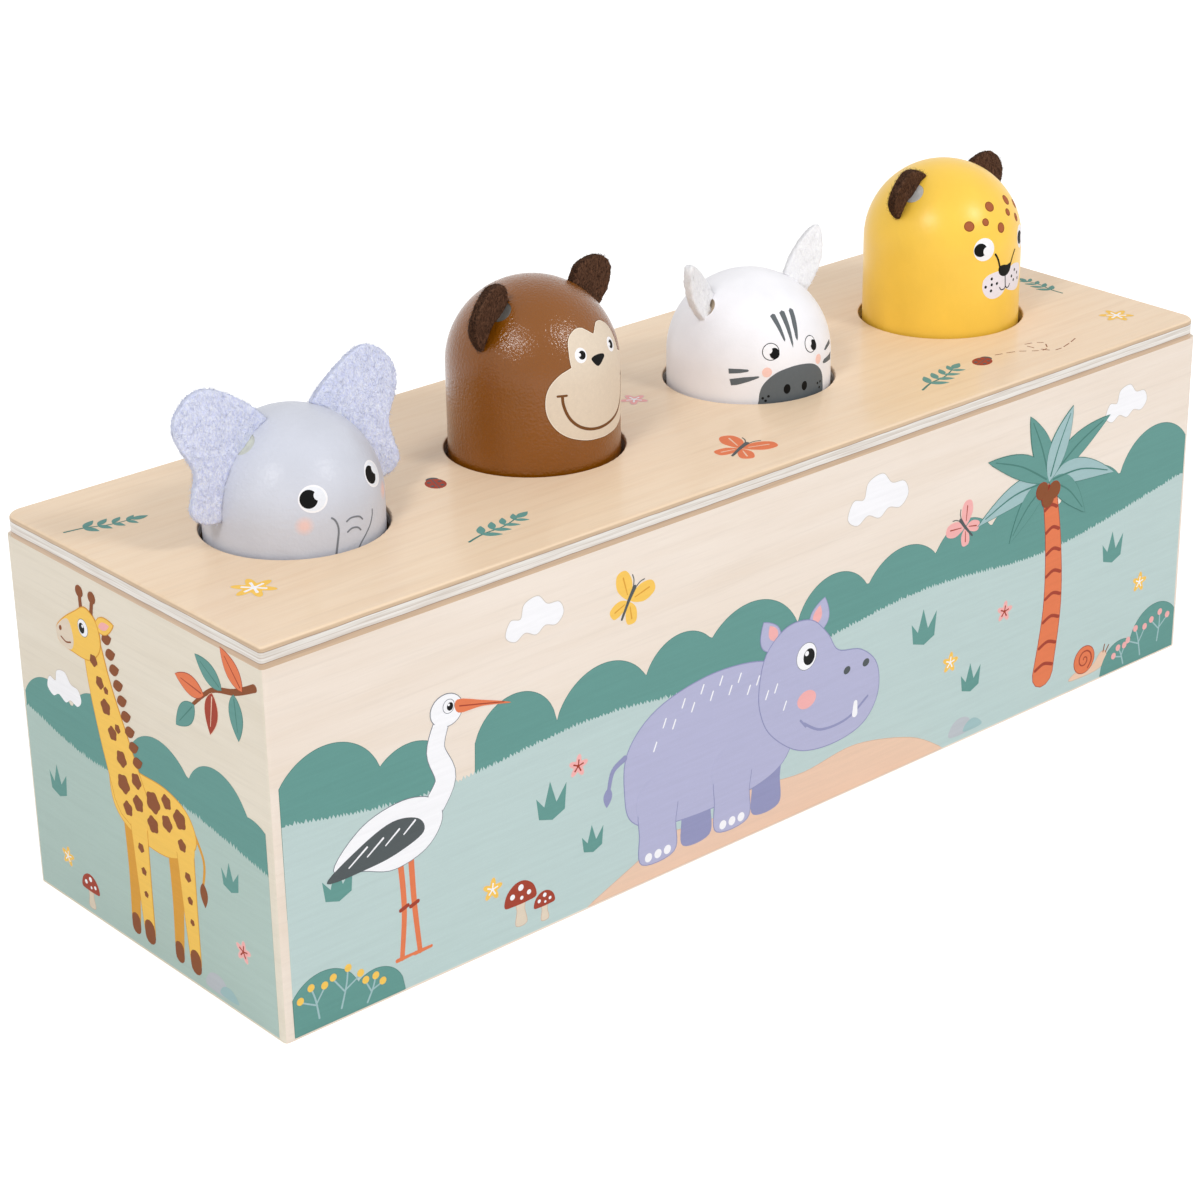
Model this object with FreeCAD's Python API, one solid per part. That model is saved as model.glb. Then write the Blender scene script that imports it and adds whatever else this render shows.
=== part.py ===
"""Pop-up animal toy: a wooden case with four turned animal pegs on two rockers.

Frame: origin at the middle of the case's underside, X along the case, Z up.
The animals look toward -Y. All sizes are in millimetres, all angles in degrees.
Pressing a raised peg tips its rocker, which lifts the other peg of the pair.
"""
import FreeCAD, Part

import math
import os

from FreeCAD import Placement, Rotation, Vector

# Case
case_width = 100.0
case_height = 94.0
end_margin = 45.0
top_thickness = 5.0
wall_thickness = 5.0
bottom_thickness = 4.0
bottom_clearance = 0.2
top_corner_radius = 4.5
wall_corner_radius = 2.5
front_left_corner_radius = 1.0
top_edge_rounding = 0.8
hole_edge_rounding = 0.4
corner_block_width = 12.0
corner_block_height = 40.0

# Screws that hold the bottom panel to the corner blocks
screw_diameter = 3.5
screw_head_diameter = 7.0
screw_head_height = 2.0
screw_length = 18.0
screw_recess = 0.3
screw_slot_length = 4.2
screw_slot_width = 0.8
screw_slot_depth = 1.2
screw_hole_clearance = 0.05

# Animal pegs
animals = ("elephant", "monkey", "zebra", "leopard")
raised_animals = ("monkey", "leopard")
peg_pitch = 70.0
peg_diameter = 41.0
hole_clearance = 1.0
lowered_collar = 6.7
travel = 14.0
flange_overlap = 2.0
flange_thickness = 6.0
flange_rounding = 1.0
flange_gap = 0.3

# Stems and the pins that join them to the rockers
stem_diameter = 14.0
stem_socket_depth = 18.0
stem_drop = 23.7
glue_gap = 0.05
pin_diameter = 5.0
pin_fit = 0.02
fork_clearance = 0.4
fork_headroom = 1.0
fork_tail = 9.0

# Rockers and their axles
rocker_thickness = 6.0
rocker_depth = 16.0
pin_slot_clearance = 0.3
axle_diameter = 8.0
axle_running_clearance = 0.08
axle_end_play = 0.5
bearing_block_width = 24.0
bearing_block_depth = 10.0

# Felt ears, glued to the domes by a tab in a drilled hole
ear_thickness = 2.0
ear_hole_diameter = 5.6
ear_hole_depth = 6.0
ear_tab_width = 5.0
ear_tab_end_gap = 0.5

# Turn of each face from straight ahead toward +X
face_turn = {"elephant": 4.4, "monkey": 13.0, "zebra": -9.5, "leopard": 8.5}

# Angle by which the ears stand forward of the plane through both sides of the head
ear_forward = {"elephant": 1.5, "monkey": 3.5, "zebra": 9.0, "leopard": 0.0}

# Height of the tab hole up the dome, as an angle above the dome's base
ear_hole_angle = {"elephant": 50.0, "monkey": 51.0, "zebra": 44.0, "leopard": 47.0}

# Free edge of each ear from its top root to its bottom root. Each point is an angle
# above the dome's base and the reach outside the dome's surface
ear_edge = {
    "elephant": [(74, 0), (62, 10), (52, 17.8), (42, 20.2), (32.5, 17.6), (23, 10.6),
                 (13, 9.6), (4, 10.6), (-2, 7.5), (-4.5, 0)],
    "monkey": [(67, 0), (61.5, 5), (54, 9), (45, 11.3), (36, 12), (28.5, 10.6), (23, 7), (21, 0)],
    "zebra": [(61, 0), (61, 5.5), (59, 10.5), (55.5, 13.6), (50.5, 12.2), (45.5, 9), (40.5, 5), (36, 0)],
    "leopard": [(65, 0), (60, 3.6), (52, 7.4), (44, 9.7), (36, 10.2), (29.5, 8.6), (25.5, 5), (24.5, 0)],
}

# Sizes that follow from the ones above
case_length = (len(animals) - 1) * peg_pitch + 2 * end_margin
wall_height = case_height - top_thickness
inner_length = case_length - 2 * wall_thickness
inner_width = case_width - 2 * wall_thickness
dome_radius = peg_diameter / 2
hole_radius = dome_radius + hole_clearance
flange_radius = hole_radius + flange_overlap
raised_flange_top = wall_height - flange_gap
raised_dome_top = case_height + lowered_collar + dome_radius + travel
flange_bottom_level = raised_flange_top - flange_thickness - travel / 2
pivot_height = flange_bottom_level - stem_drop
half_pitch = peg_pitch / 2
tilt = math.degrees(math.atan(travel / 2 / half_pitch))
pin_reach_tilted = math.hypot(half_pitch, travel / 2)
pivot_places = {"left": -peg_pitch, "right": peg_pitch}

z_axis = Vector(0, 0, 1)
y_axis = Vector(0, 1, 0)


def peg_place(animal):
    """X of a peg's axis."""
    middle = (len(animals) - 1) / 2
    return (animals.index(animal) - middle) * peg_pitch


def peg_drop(animal):
    """How far a peg stands below its raised position."""
    return 0.0 if animal in raised_animals else travel


def block(size_x, size_y, size_z, center_x, center_y, bottom):
    corner = Vector(center_x - size_x / 2, center_y - size_y / 2, bottom)
    return Part.makeBox(size_x, size_y, size_z, corner)


def is_front_left(edge):
    """Whether an edge stands at the front left corner of the case."""
    box = edge.BoundBox
    return box.XMax < 0.01 - case_length / 2 and box.YMax < 0.01 - case_width / 2


def rounded_plate(length, width, height, radius, bottom):
    """Upright plate with corners rounded in plan, the front left one nearly square."""
    plate = block(length, width, height, 0, 0, bottom)
    upright = [edge for edge in plate.Edges if abs(edge.tangentAt(edge.FirstParameter).z) > 0.99]
    plate = plate.makeFillet(radius, [edge for edge in upright if not is_front_left(edge)])
    return plate.makeFillet(front_left_corner_radius, [edge for edge in plate.Edges if is_front_left(edge)])


def upright_cylinder(radius, height, x, y, bottom):
    return Part.makeCylinder(radius, height, Vector(x, y, bottom), z_axis)


def cross_cylinder(radius, length, x, z, center_y=0.0):
    """Cylinder along Y."""
    return Part.makeCylinder(radius, length, Vector(x, center_y - length / 2, z), y_axis)


def make_top_panel():
    panel = rounded_plate(case_length, case_width, top_thickness, top_corner_radius, wall_height)
    rim = [edge for edge in panel.Edges if edge.BoundBox.ZMin > case_height - 0.01]
    panel = panel.makeFillet(top_edge_rounding, rim)
    for animal in animals:
        panel = panel.cut(upright_cylinder(hole_radius, top_thickness, peg_place(animal), 0, wall_height))
    hole_rims = [edge for edge in panel.Edges
                 if edge.BoundBox.ZMin > case_height - 0.01 and is_circle(edge, hole_radius)]
    return panel.makeFillet(hole_edge_rounding, hole_rims)


def is_circle(edge, radius):
    return isinstance(edge.Curve, Part.Circle) and abs(edge.Curve.Radius - radius) < 0.01


def make_wall(side):
    """One wall of the case, mitred at 45 degrees at both ends."""
    ring = rounded_plate(case_length, case_width, wall_height, wall_corner_radius, 0)
    ring = ring.cut(block(inner_length, inner_width, wall_height, 0, 0, 0))
    outer_x = case_length / 2
    outer_y = case_width / 2
    inner_x = outer_x - wall_thickness
    inner_y = outer_y - wall_thickness
    corners = {
        "front": [(-outer_x, -outer_y), (outer_x, -outer_y), (inner_x, -inner_y), (-inner_x, -inner_y)],
        "back": [(outer_x, outer_y), (-outer_x, outer_y), (-inner_x, inner_y), (inner_x, inner_y)],
        "left_end": [(-outer_x, outer_y), (-outer_x, -outer_y), (-inner_x, -inner_y), (-inner_x, inner_y)],
        "right_end": [(outer_x, -outer_y), (outer_x, outer_y), (inner_x, inner_y), (inner_x, -inner_y)],
    }[side]
    points = [Vector(x, y, 0) for x, y in corners]
    outline = Part.makePolygon(points + points[:1])
    return ring.common(Part.Face(outline).extrude(Vector(0, 0, wall_height)))


def corner_places():
    """Name and middle of each corner block."""
    x = inner_length / 2 - corner_block_width / 2
    y = inner_width / 2 - corner_block_width / 2
    return {
        "front_left": (-x, -y),
        "front_right": (x, -y),
        "back_left": (-x, y),
        "back_right": (x, y),
    }


def screw_shape(x, y, growth=0.0):
    """Countersunk screw seen from below, grown all round by a clearance."""
    head_radius = screw_head_diameter / 2 + growth
    shank_radius = screw_diameter / 2 + growth
    head = Part.makeCone(head_radius, shank_radius, screw_head_height, Vector(x, y, screw_recess), z_axis)
    shank = upright_cylinder(shank_radius, screw_length + growth, x, y, screw_recess)
    return head.fuse(shank)


def make_bottom_panel():
    length = inner_length - 2 * bottom_clearance
    width = inner_width - 2 * bottom_clearance
    panel = block(length, width, bottom_thickness, 0, 0, 0)
    for x, y in corner_places().values():
        mouth = upright_cylinder(screw_head_diameter / 2 + screw_hole_clearance, screw_recess, x, y, 0)
        panel = panel.cut(mouth.fuse(screw_shape(x, y, screw_hole_clearance)))
    return panel


def make_corner_block(name):
    x, y = corner_places()[name]
    solid = block(corner_block_width, corner_block_width, corner_block_height, x, y, bottom_thickness)
    return solid.cut(screw_shape(x, y, screw_hole_clearance))


def make_bottom_screws():
    screws = []
    for x, y in corner_places().values():
        slot = block(screw_slot_length, screw_slot_width, screw_slot_depth, x, y, screw_recess)
        cross_slot = block(screw_slot_width, screw_slot_length, screw_slot_depth, x, y, screw_recess)
        screws.append(screw_shape(x, y).cut(slot.fuse(cross_slot)))
    return Part.makeCompound(screws)


def dome_center_height(animal):
    return raised_dome_top - dome_radius - peg_drop(animal)


def flange_bottom(animal):
    return raised_flange_top - flange_thickness - peg_drop(animal)


def make_head(animal):
    """Turned peg head: flange, straight collar and dome, with a stem socket and two ear holes."""
    x = peg_place(animal)
    base = flange_bottom(animal)
    dome_center = dome_center_height(animal)
    flange = upright_cylinder(flange_radius, flange_thickness, x, 0, base)
    flange = flange.makeFillet(flange_rounding, [edge for edge in flange.Edges if is_circle(edge, flange_radius)])
    collar = upright_cylinder(dome_radius, dome_center - base, x, 0, base)
    dome = Part.makeSphere(dome_radius, Vector(x, 0, dome_center), z_axis, 0, 90, 360)
    head = flange.fuse([collar, dome]).removeSplitter()
    head = head.cut(upright_cylinder(stem_diameter / 2 + glue_gap, stem_socket_depth, x, 0, base))
    for side in ("left", "right"):
        head = head.cut(place_ear(animal, side, ear_hole(animal)))
    return head


def pin_height(animal):
    return flange_bottom(animal) - stem_drop


def make_stem(animal):
    """Dowel glued into a head, forked at its lower end to straddle the rocker."""
    x = peg_place(animal)
    pin = pin_height(animal)
    top = flange_bottom(animal) + stem_socket_depth - glue_gap
    stem = upright_cylinder(stem_diameter / 2, top - pin + fork_tail, x, 0, pin - fork_tail)
    rise_at_edge = stem_diameter / 2 * math.tan(math.radians(tilt))
    fork_height = rocker_depth / 2 / math.cos(math.radians(tilt)) + rise_at_edge + fork_headroom
    fork_width = rocker_thickness + 2 * fork_clearance
    fork = block(stem_diameter, fork_width, fork_height + fork_tail, x, 0, pin - fork_tail)
    pin_hole = cross_cylinder(pin_diameter / 2 + pin_fit, stem_diameter, x, pin)
    return stem.cut(fork.fuse(pin_hole))


def make_cross_pin(animal):
    length = 2 * math.sqrt((stem_diameter / 2) ** 2 - (pin_diameter / 2) ** 2)
    return cross_cylinder(pin_diameter / 2, length, peg_place(animal), pin_height(animal))


def long_hole(half_width, inner_reach, outer_reach):
    """Slot through the rocker along X, from the X of one end's middle to the other's."""
    ends = [cross_cylinder(half_width, rocker_thickness, x, 0) for x in (inner_reach, outer_reach)]
    middle_x = (inner_reach + outer_reach) / 2
    bar = block(abs(outer_reach - inner_reach), rocker_thickness, 2 * half_width, middle_x, 0, -half_width)
    return bar.fuse(ends)


def make_rocker(side):
    """Tipping plate with round ends, an axle hole and a long pin hole at each end."""
    plate = long_hole(rocker_depth / 2, -pin_reach_tilted, pin_reach_tilted).removeSplitter()
    hole_half_width = pin_diameter / 2 + pin_slot_clearance
    plate = plate.cut(long_hole(hole_half_width, half_pitch, pin_reach_tilted))
    plate = plate.cut(long_hole(hole_half_width, -half_pitch, -pin_reach_tilted))
    plate = plate.cut(cross_cylinder(axle_diameter / 2 + pin_fit, rocker_thickness, 0, 0))
    return tip_rocker(plate, side)


def tip_rocker(shape, side):
    """Turn a level rocker so that its +X end is up, and carry it to its pivot."""
    moved = shape.copy()
    pivot = Vector(pivot_places[side], 0, pivot_height)
    moved.Placement = Placement(pivot, Rotation(y_axis, -tilt))
    return moved


def make_axle(side):
    length = inner_width - 2 * axle_end_play
    return cross_cylinder(axle_diameter / 2, length, pivot_places[side], pivot_height)


def make_bearing_block(side, face):
    """Block glued inside the front or back wall, with a running hole for the axle."""
    direction = -1 if face == "front" else 1
    x = pivot_places[side]
    y = direction * (inner_width / 2 - bearing_block_depth / 2)
    bottom = pivot_height - bearing_block_width / 2
    solid = block(bearing_block_width, bearing_block_depth, bearing_block_width, x, y, bottom)
    bore_radius = axle_diameter / 2 + axle_running_clearance
    return solid.cut(cross_cylinder(bore_radius, bearing_block_depth, x, pivot_height, y))


def dome_point(angle, radius):
    """Point in the ear's plane: X out from the dome's middle, Z up."""
    return Vector(radius * math.cos(math.radians(angle)), 0, radius * math.sin(math.radians(angle)))


def ear_hole(animal):
    """Round hole for the ear's tab, square to the dome, before it is carried to the head."""
    angle = ear_hole_angle[animal]
    start = dome_point(angle, dome_radius - ear_hole_depth)
    return Part.makeCylinder(ear_hole_diameter / 2, 2 * ear_hole_depth, start, dome_point(angle, 1))


def ear_tab(animal):
    length = ear_hole_depth - ear_tab_end_gap
    tab = block(length, ear_thickness, ear_tab_width, dome_radius - length / 2, 0, -ear_tab_width / 2)
    tab.Placement = Placement(Vector(0, 0, 0), Rotation(y_axis, -ear_hole_angle[animal]))
    return tab


def flat_ear(animal):
    """Felt ear in its own plane: a free edge outside the dome, and a tab."""
    edge_points = [dome_point(angle, dome_radius + reach) for angle, reach in ear_edge[animal]]
    free_edge = Part.BSplineCurve()
    free_edge.interpolate(edge_points)
    first = edge_points[0]
    last = edge_points[-1]
    middle_angle = (ear_edge[animal][0][0] + ear_edge[animal][-1][0]) / 2
    root = Part.Arc(last, dome_point(middle_angle, dome_radius), first)
    outline = Part.Wire([free_edge.toShape(), root.toShape()])
    leaf = Part.Face(outline).extrude(Vector(0, ear_thickness, 0))
    leaf.translate(Vector(0, -ear_thickness / 2, 0))
    leaf = leaf.cut(upright_cylinder(dome_radius, dome_radius, 0, 0, -dome_radius))
    return leaf.fuse(ear_tab(animal)).removeSplitter()


def place_ear(animal, side, shape):
    """Carry a shape from the ear's own plane to one side of a head."""
    forward = ear_forward[animal]
    turn = face_turn[animal]
    moved = shape.copy()
    if side == "left":
        moved = moved.mirror(Vector(0, 0, 0), Vector(1, 0, 0))
        forward = -forward
    spin = Placement(Vector(0, 0, 0), Rotation(z_axis, turn - forward))
    lift = Placement(Vector(peg_place(animal), 0, dome_center_height(animal)), Rotation())
    moved.Placement = lift.multiply(spin).multiply(moved.Placement)
    return moved


def make_ear(animal, side):
    return place_ear(animal, side, flat_ear(animal))


def all_parts():
    parts = {
        "top_panel": make_top_panel(),
        "bottom_panel": make_bottom_panel(),
        "bottom_screws": make_bottom_screws(),
    }
    for side in ("front", "back", "left_end", "right_end"):
        parts[side + "_wall"] = make_wall(side)
    for name in corner_places():
        parts[name + "_corner_block"] = make_corner_block(name)
    for side in pivot_places:
        parts[side + "_rocker_arm"] = make_rocker(side)
        parts[side + "_axle_dowel"] = make_axle(side)
        for face in ("front", "back"):
            parts[side + "_" + face + "_bearing_block"] = make_bearing_block(side, face)
    for animal in animals:
        parts[animal + "_head"] = make_head(animal)
        parts[animal + "_stem"] = make_stem(animal)
        parts[animal + "_cross_pin"] = make_cross_pin(animal)
        for side in ("left", "right"):
            parts[animal + "_" + side + "_ear"] = make_ear(animal, side)
    return parts


def main():
    os.makedirs("parts", exist_ok=True)
    for name, shape in all_parts().items():
        shape.exportStep("parts/" + name + ".step")


main()
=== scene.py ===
"""The look of the pop-up animal toy, in metres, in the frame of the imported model."""
import math
import random

import bmesh
import bpy
from mathutils import Matrix, Vector, noise


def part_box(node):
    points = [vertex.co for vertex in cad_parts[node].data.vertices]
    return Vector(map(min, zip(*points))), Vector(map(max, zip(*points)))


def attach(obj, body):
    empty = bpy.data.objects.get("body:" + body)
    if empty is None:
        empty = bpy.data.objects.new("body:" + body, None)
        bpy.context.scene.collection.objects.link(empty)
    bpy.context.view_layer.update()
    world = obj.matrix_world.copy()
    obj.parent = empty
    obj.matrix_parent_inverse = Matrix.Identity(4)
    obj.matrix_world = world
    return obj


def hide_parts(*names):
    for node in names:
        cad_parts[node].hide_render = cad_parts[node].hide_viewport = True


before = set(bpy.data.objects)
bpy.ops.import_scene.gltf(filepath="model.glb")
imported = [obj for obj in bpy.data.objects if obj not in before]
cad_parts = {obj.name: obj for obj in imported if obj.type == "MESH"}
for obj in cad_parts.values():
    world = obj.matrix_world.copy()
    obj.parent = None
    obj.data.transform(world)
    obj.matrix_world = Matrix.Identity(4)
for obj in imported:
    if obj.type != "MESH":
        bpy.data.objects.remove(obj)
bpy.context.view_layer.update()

MM = 0.001

# Camera, fitted to the case's edges in the photograph
camera_place = Vector((-464.668, -519.273, 353.216)) * MM
camera_azimuth = -40.8692
camera_elevation = 24.0016
camera_roll = -0.9722
camera_lens = 91.453
camera_sensor = 36.0

# Sizes that the frame does not state by itself, in millimetres
peg_radius = 20.5
animals = ("elephant", "monkey", "zebra", "leopard")
face_turn = {"elephant": 4.4, "monkey": 13.0, "zebra": -9.5, "leopard": 8.5}
felt_thickness = 2.0
tab_half_width = 2.5
tab_depth = 5.5
ear_hole_radius = 2.8
ear_hole_angle = {"elephant": 50.0, "monkey": 51.0, "zebra": 44.0, "leopard": 47.0}

# How far each hole stands forward of the plane through both sides of its head, in degrees
cad_forward = {"elephant": 1.5, "monkey": 3.5, "zebra": 9.0, "leopard": 0.0}

# Felt: size of its cells before and after it is made one skin, its loose fibres, and how
# much darker its cut edges are
felt_cell = 1.0
felt_voxel = 0.36
edge_slope = 0.62
fibre_thickness = 0.065
fibre_count = {"lavender_felt": 4000, "dark_felt": 1200, "white_felt": 500}
edge_dim = {"lavender_felt": 0.93, "dark_felt": 0.6, "white_felt": 0.95}

# Top panel and lamps
ply_thickness = 5.0
lamp_target = Vector((0, 0, 0.09))
lamp_distance = 1.4
lamp_size = 0.28
lamp_power = 5.5
floor_reach = 6.0
floor_glow = 0.42
sky_strength = 0.6

# Glue in the ears' holes: its colour, and how far it stays under the dome
glue_look = {"elephant": ((210, 213, 200), 0.35), "monkey": ((120, 118, 114), 0.5),
             "zebra": ((206, 186, 160), 1.3), "leopard": ((208, 208, 206), 0.3)}
glue_depth = 2.0

# Printed layers stand just proud of the wood
first_lift = 0.03
layer_lift = 0.009
print_depth = 0.02
print_margin = 2.4
ground = 0.6
head_layer_lift = 0.014
head_cell = 0.9

top_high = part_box("top_panel")[1]
half_length = top_high.x / MM
half_width = top_high.y / MM
panel_top = top_high.z / MM


def srgb(red, green, blue):
    """Linear colour of a screen colour given in steps of 255."""
    return tuple(to_linear(value / 255) for value in (red, green, blue)) + (1.0,)


def to_linear(value):
    if value <= 0.04045:
        return value / 12.92
    return ((value + 0.055) / 1.055) ** 2.4


def shade(colour, factor):
    return tuple(min(1.0, value * factor) for value in colour[:3]) + (1.0,)


# Materials


class Shader:
    """Small helper that adds linked nodes to one material."""

    def __init__(self, name):
        self.material = bpy.data.materials.new(name)
        self.material.use_nodes = True
        self.tree = self.material.node_tree
        self.surface = self.tree.nodes["Principled BSDF"]

    def node(self, kind, inputs=None, **settings):
        made = self.tree.nodes.new(kind)
        for key, value in settings.items():
            setattr(made, key, value)
        for key, value in (inputs or {}).items():
            self.feed(made.inputs[key], value)
        return made

    def feed(self, socket, value):
        if isinstance(value, bpy.types.NodeSocket):
            self.tree.links.new(value, socket)
        else:
            socket.default_value = value

    def set(self, **values):
        for key, value in values.items():
            self.feed(self.surface.inputs[key.replace("_", " ")], value)

    def place(self):
        """Position in the row frame, in metres."""
        return self.node("ShaderNodeTexCoord").outputs["Object"]

    def scaled(self, scale, turn=(0, 0, 0)):
        made = self.node("ShaderNodeMapping", {"Vector": self.place(), "Scale": scale, "Rotation": turn})
        return made.outputs["Vector"]

    def noise(self, vector, scale, detail=2.0, roughness=0.5):
        inputs = {"Vector": vector, "Scale": scale, "Detail": detail, "Roughness": roughness}
        return self.node("ShaderNodeTexNoise", inputs).outputs["Fac"]

    def ramp(self, value, low, high, start=0.0, end=1.0):
        inputs = {"Value": value, "From Min": low, "From Max": high, "To Min": start, "To Max": end}
        return self.node("ShaderNodeMapRange", inputs).outputs["Result"]

    def mix(self, amount, first, second, blend="MIX"):
        made = self.node("ShaderNodeMix", data_type="RGBA", blend_type=blend)
        self.feed(made.inputs[0], amount)
        self.feed(made.inputs[6], first)
        self.feed(made.inputs[7], second)
        return made.outputs[2]

    def math(self, operation, first, second=0.0):
        made = self.node("ShaderNodeMath", operation=operation)
        self.feed(made.inputs[0], first)
        self.feed(made.inputs[1], second)
        return made.outputs[0]

    def bump(self, height, strength, distance):
        made = self.node("ShaderNodeBump", {"Height": height, "Strength": strength, "Distance": distance})
        return made.outputs["Normal"]


def wood_grain(shader, along, pale, deep, streak=1.0, figure_strength=0.4, band_scale=190.0):
    """Colour of sliced wood whose grain runs along one axis."""

    def squeezed(amount):
        return shader.scaled([amount if axis == along else 1.0 for axis in range(3)])

    fibre = squeezed(0.035)
    broad = shader.noise(squeezed(0.22), 32.0, 3.0, 0.55)
    fine = shader.noise(fibre, 900.0, 4.0, 0.65)
    thread = shader.noise(fibre, 2600.0, 2.0, 0.6)
    bands = shader.noise(squeezed(0.07), band_scale, 4.0, 0.6)
    amount = shader.ramp(broad, 0.30, 0.72, 0.0, 1.0 - figure_strength)
    amount = shader.math("ADD", amount, shader.ramp(bands, 0.42, 0.70, 0.0, figure_strength))
    colour = shader.mix(amount, pale, deep)
    dark_thread = shader.ramp(fine, 0.50, 0.78, 0.0, 0.22 * streak)
    colour = shader.mix(dark_thread, colour, shade(deep, 0.62))
    light_thread = shader.ramp(thread, 0.55, 0.75, 0.0, 0.16 * streak)
    colour = shader.mix(light_thread, colour, shade(pale, 1.25))
    return colour, fine


def top_panel_material():
    """Veneered plywood: open grain on top, its layers on the edges."""
    shader = Shader("top_ply")
    face, fibre = wood_grain(shader, 0, srgb(241, 217, 188), srgb(232, 202, 168), 0.6, 0.45, 460.0)
    height = shader.node("ShaderNodeSeparateXYZ", {"Vector": shader.place()}).outputs["Z"]
    depth = shader.math("MULTIPLY", shader.math("SUBTRACT", panel_top * MM, height), 1 / MM)
    layers = shader.node("ShaderNodeValToRGB")
    stops = [
        (0.0, srgb(214, 188, 156)), (0.20, srgb(204, 176, 146)), (0.225, srgb(136, 108, 88)),
        (0.25, srgb(234, 230, 224)), (0.46, srgb(226, 220, 212)), (0.48, srgb(200, 188, 176)),
        (0.50, srgb(236, 231, 225)), (0.70, srgb(228, 221, 213)), (0.725, srgb(130, 102, 82)),
        (0.75, srgb(196, 166, 138)), (1.0, srgb(210, 181, 151)),
    ]
    while len(layers.color_ramp.elements) < len(stops):
        layers.color_ramp.elements.new(0.5)
    for element, (place, colour) in zip(layers.color_ramp.elements, stops):
        element.position = place
        element.color = colour
    wobble = shader.noise(shader.scaled((0.3, 0.3, 1.0)), 260.0, 3.0)
    share = shader.math("DIVIDE", depth, ply_thickness)
    shifted = shader.math("ADD", share, shader.ramp(wobble, 0.3, 0.7, -0.018, 0.018))
    shader.feed(layers.inputs["Fac"], shifted)
    sawn = shader.noise(shader.scaled((0.05, 0.05, 1.6)), 1500.0, 2.0)
    edge = shader.mix(shader.ramp(sawn, 0.4, 0.75, 0.0, 0.35), layers.outputs["Color"], srgb(160, 132, 108))
    normal = shader.node("ShaderNodeNewGeometry").outputs["Normal"]
    upward = shader.node("ShaderNodeSeparateXYZ", {"Vector": normal}).outputs["Z"]
    flat = shader.ramp(shader.math("ABSOLUTE", upward), 0.45, 0.75)
    shader.set(Base_Color=shader.mix(flat, edge, face), Roughness=0.45, Specular_IOR_Level=0.18)
    shader.set(Coat_Weight=0.42, Coat_Roughness=0.16)
    shader.set(Normal=shader.bump(fibre, 0.12, 0.00006))
    return shader.material


def wall_material(along, pale, deep):
    shader = Shader("wall_ply_" + "xyz"[along])
    colour, fibre = wood_grain(shader, along, pale, deep, 0.7)
    shader.set(Base_Color=colour, Roughness=0.5, Specular_IOR_Level=0.3)
    shader.set(Normal=shader.bump(fibre, 0.10, 0.00005))
    return shader.material


def plain_wood_material(name, along, pale, deep):
    """Sawn wood inside the case."""
    shader = Shader(name)
    colour, fibre = wood_grain(shader, along, pale, deep, 1.4)
    shader.set(Base_Color=colour, Roughness=0.62)
    shader.set(Normal=shader.bump(fibre, 0.25, 0.0001))
    return shader.material


def screw_material():
    shader = Shader("screw_steel")
    brushed = shader.noise(shader.place(), 900.0, 3.0)
    shader.set(Base_Color=srgb(190, 190, 186), Metallic=1.0)
    shader.set(Roughness=shader.ramp(brushed, 0.3, 0.7, 0.28, 0.45))
    return shader.material


def paint_material(name, colour, roughness, ripple, ripple_scale, coat=0.0, coat_roughness=0.2, blush=()):
    """Sprayed paint on turned wood, with slight orange peel and soft blush marks."""
    shader = Shader(name)
    mottle = shader.noise(shader.place(), 90.0, 3.0)
    tone = shader.mix(shader.ramp(mottle, 0.3, 0.7), colour, shade(colour, 0.93))
    for spot, radius, tint in blush:
        offset = shader.node("ShaderNodeVectorMath", {0: shader.place(), 1: spot}, operation="DISTANCE")
        strength = shader.ramp(offset.outputs["Value"], radius * 0.3, radius, 0.62, 0.0)
        tone = shader.mix(strength, tone, tint)
    peel = shader.noise(shader.place(), ripple_scale, 2.0, 0.55)
    fine = shader.noise(shader.scaled((1.0, 1.0, 0.12)), 1400.0, 2.0)
    height = shader.math("ADD", peel, shader.math("MULTIPLY", fine, 0.25))
    peeled = shader.bump(height, ripple, 0.0003)
    shader.set(Base_Color=tone, Roughness=roughness, Specular_IOR_Level=0.12, Normal=peeled)
    shader.set(Coat_Weight=coat, Coat_Roughness=coat_roughness, Coat_Normal=peeled)
    return shader.material


inks = {
    "sage": (190, 209, 207),
    # darker sage for the end walls' grass: painted shade of the end walls
    "end_sage": (178, 199, 192),
    "teal": (101, 152, 145),
    "deep_teal": (78, 128, 120),
    "mist": (162, 192, 194),
    "lavender": (182, 182, 212),
    "deep_lavender": (148, 150, 188),
    "white": (248, 247, 250),
    "slate": (84, 90, 92),
    "black": (10, 10, 10),
    "orange": (228, 124, 82),
    "rust": (164, 66, 48),
    "yellow": (248, 200, 94),
    "gold": (220, 158, 60),
    "brown": (138, 78, 44),
    "peach": (236, 201, 176),
    "deep_peach": (216, 174, 146),
    "pink": (244, 178, 176),
    "stone": (190, 194, 200),
    "cream": (226, 210, 190),
    "warm_brown": (118, 76, 42),
    "eye_white": (236, 239, 246),
    "ring": (38, 40, 44),
    "halo": (214, 204, 194),
    "grey_line": (124, 128, 136),
    "tan_spot": (172, 96, 58),
    "spot_rim": (138, 72, 32),
    "rim": (246, 234, 216),
    "blush": (252, 208, 196),
    "zebra_grey": (100, 106, 110),
    "muzzle_white": (240, 234, 242),
}
made_inks = {}


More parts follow.
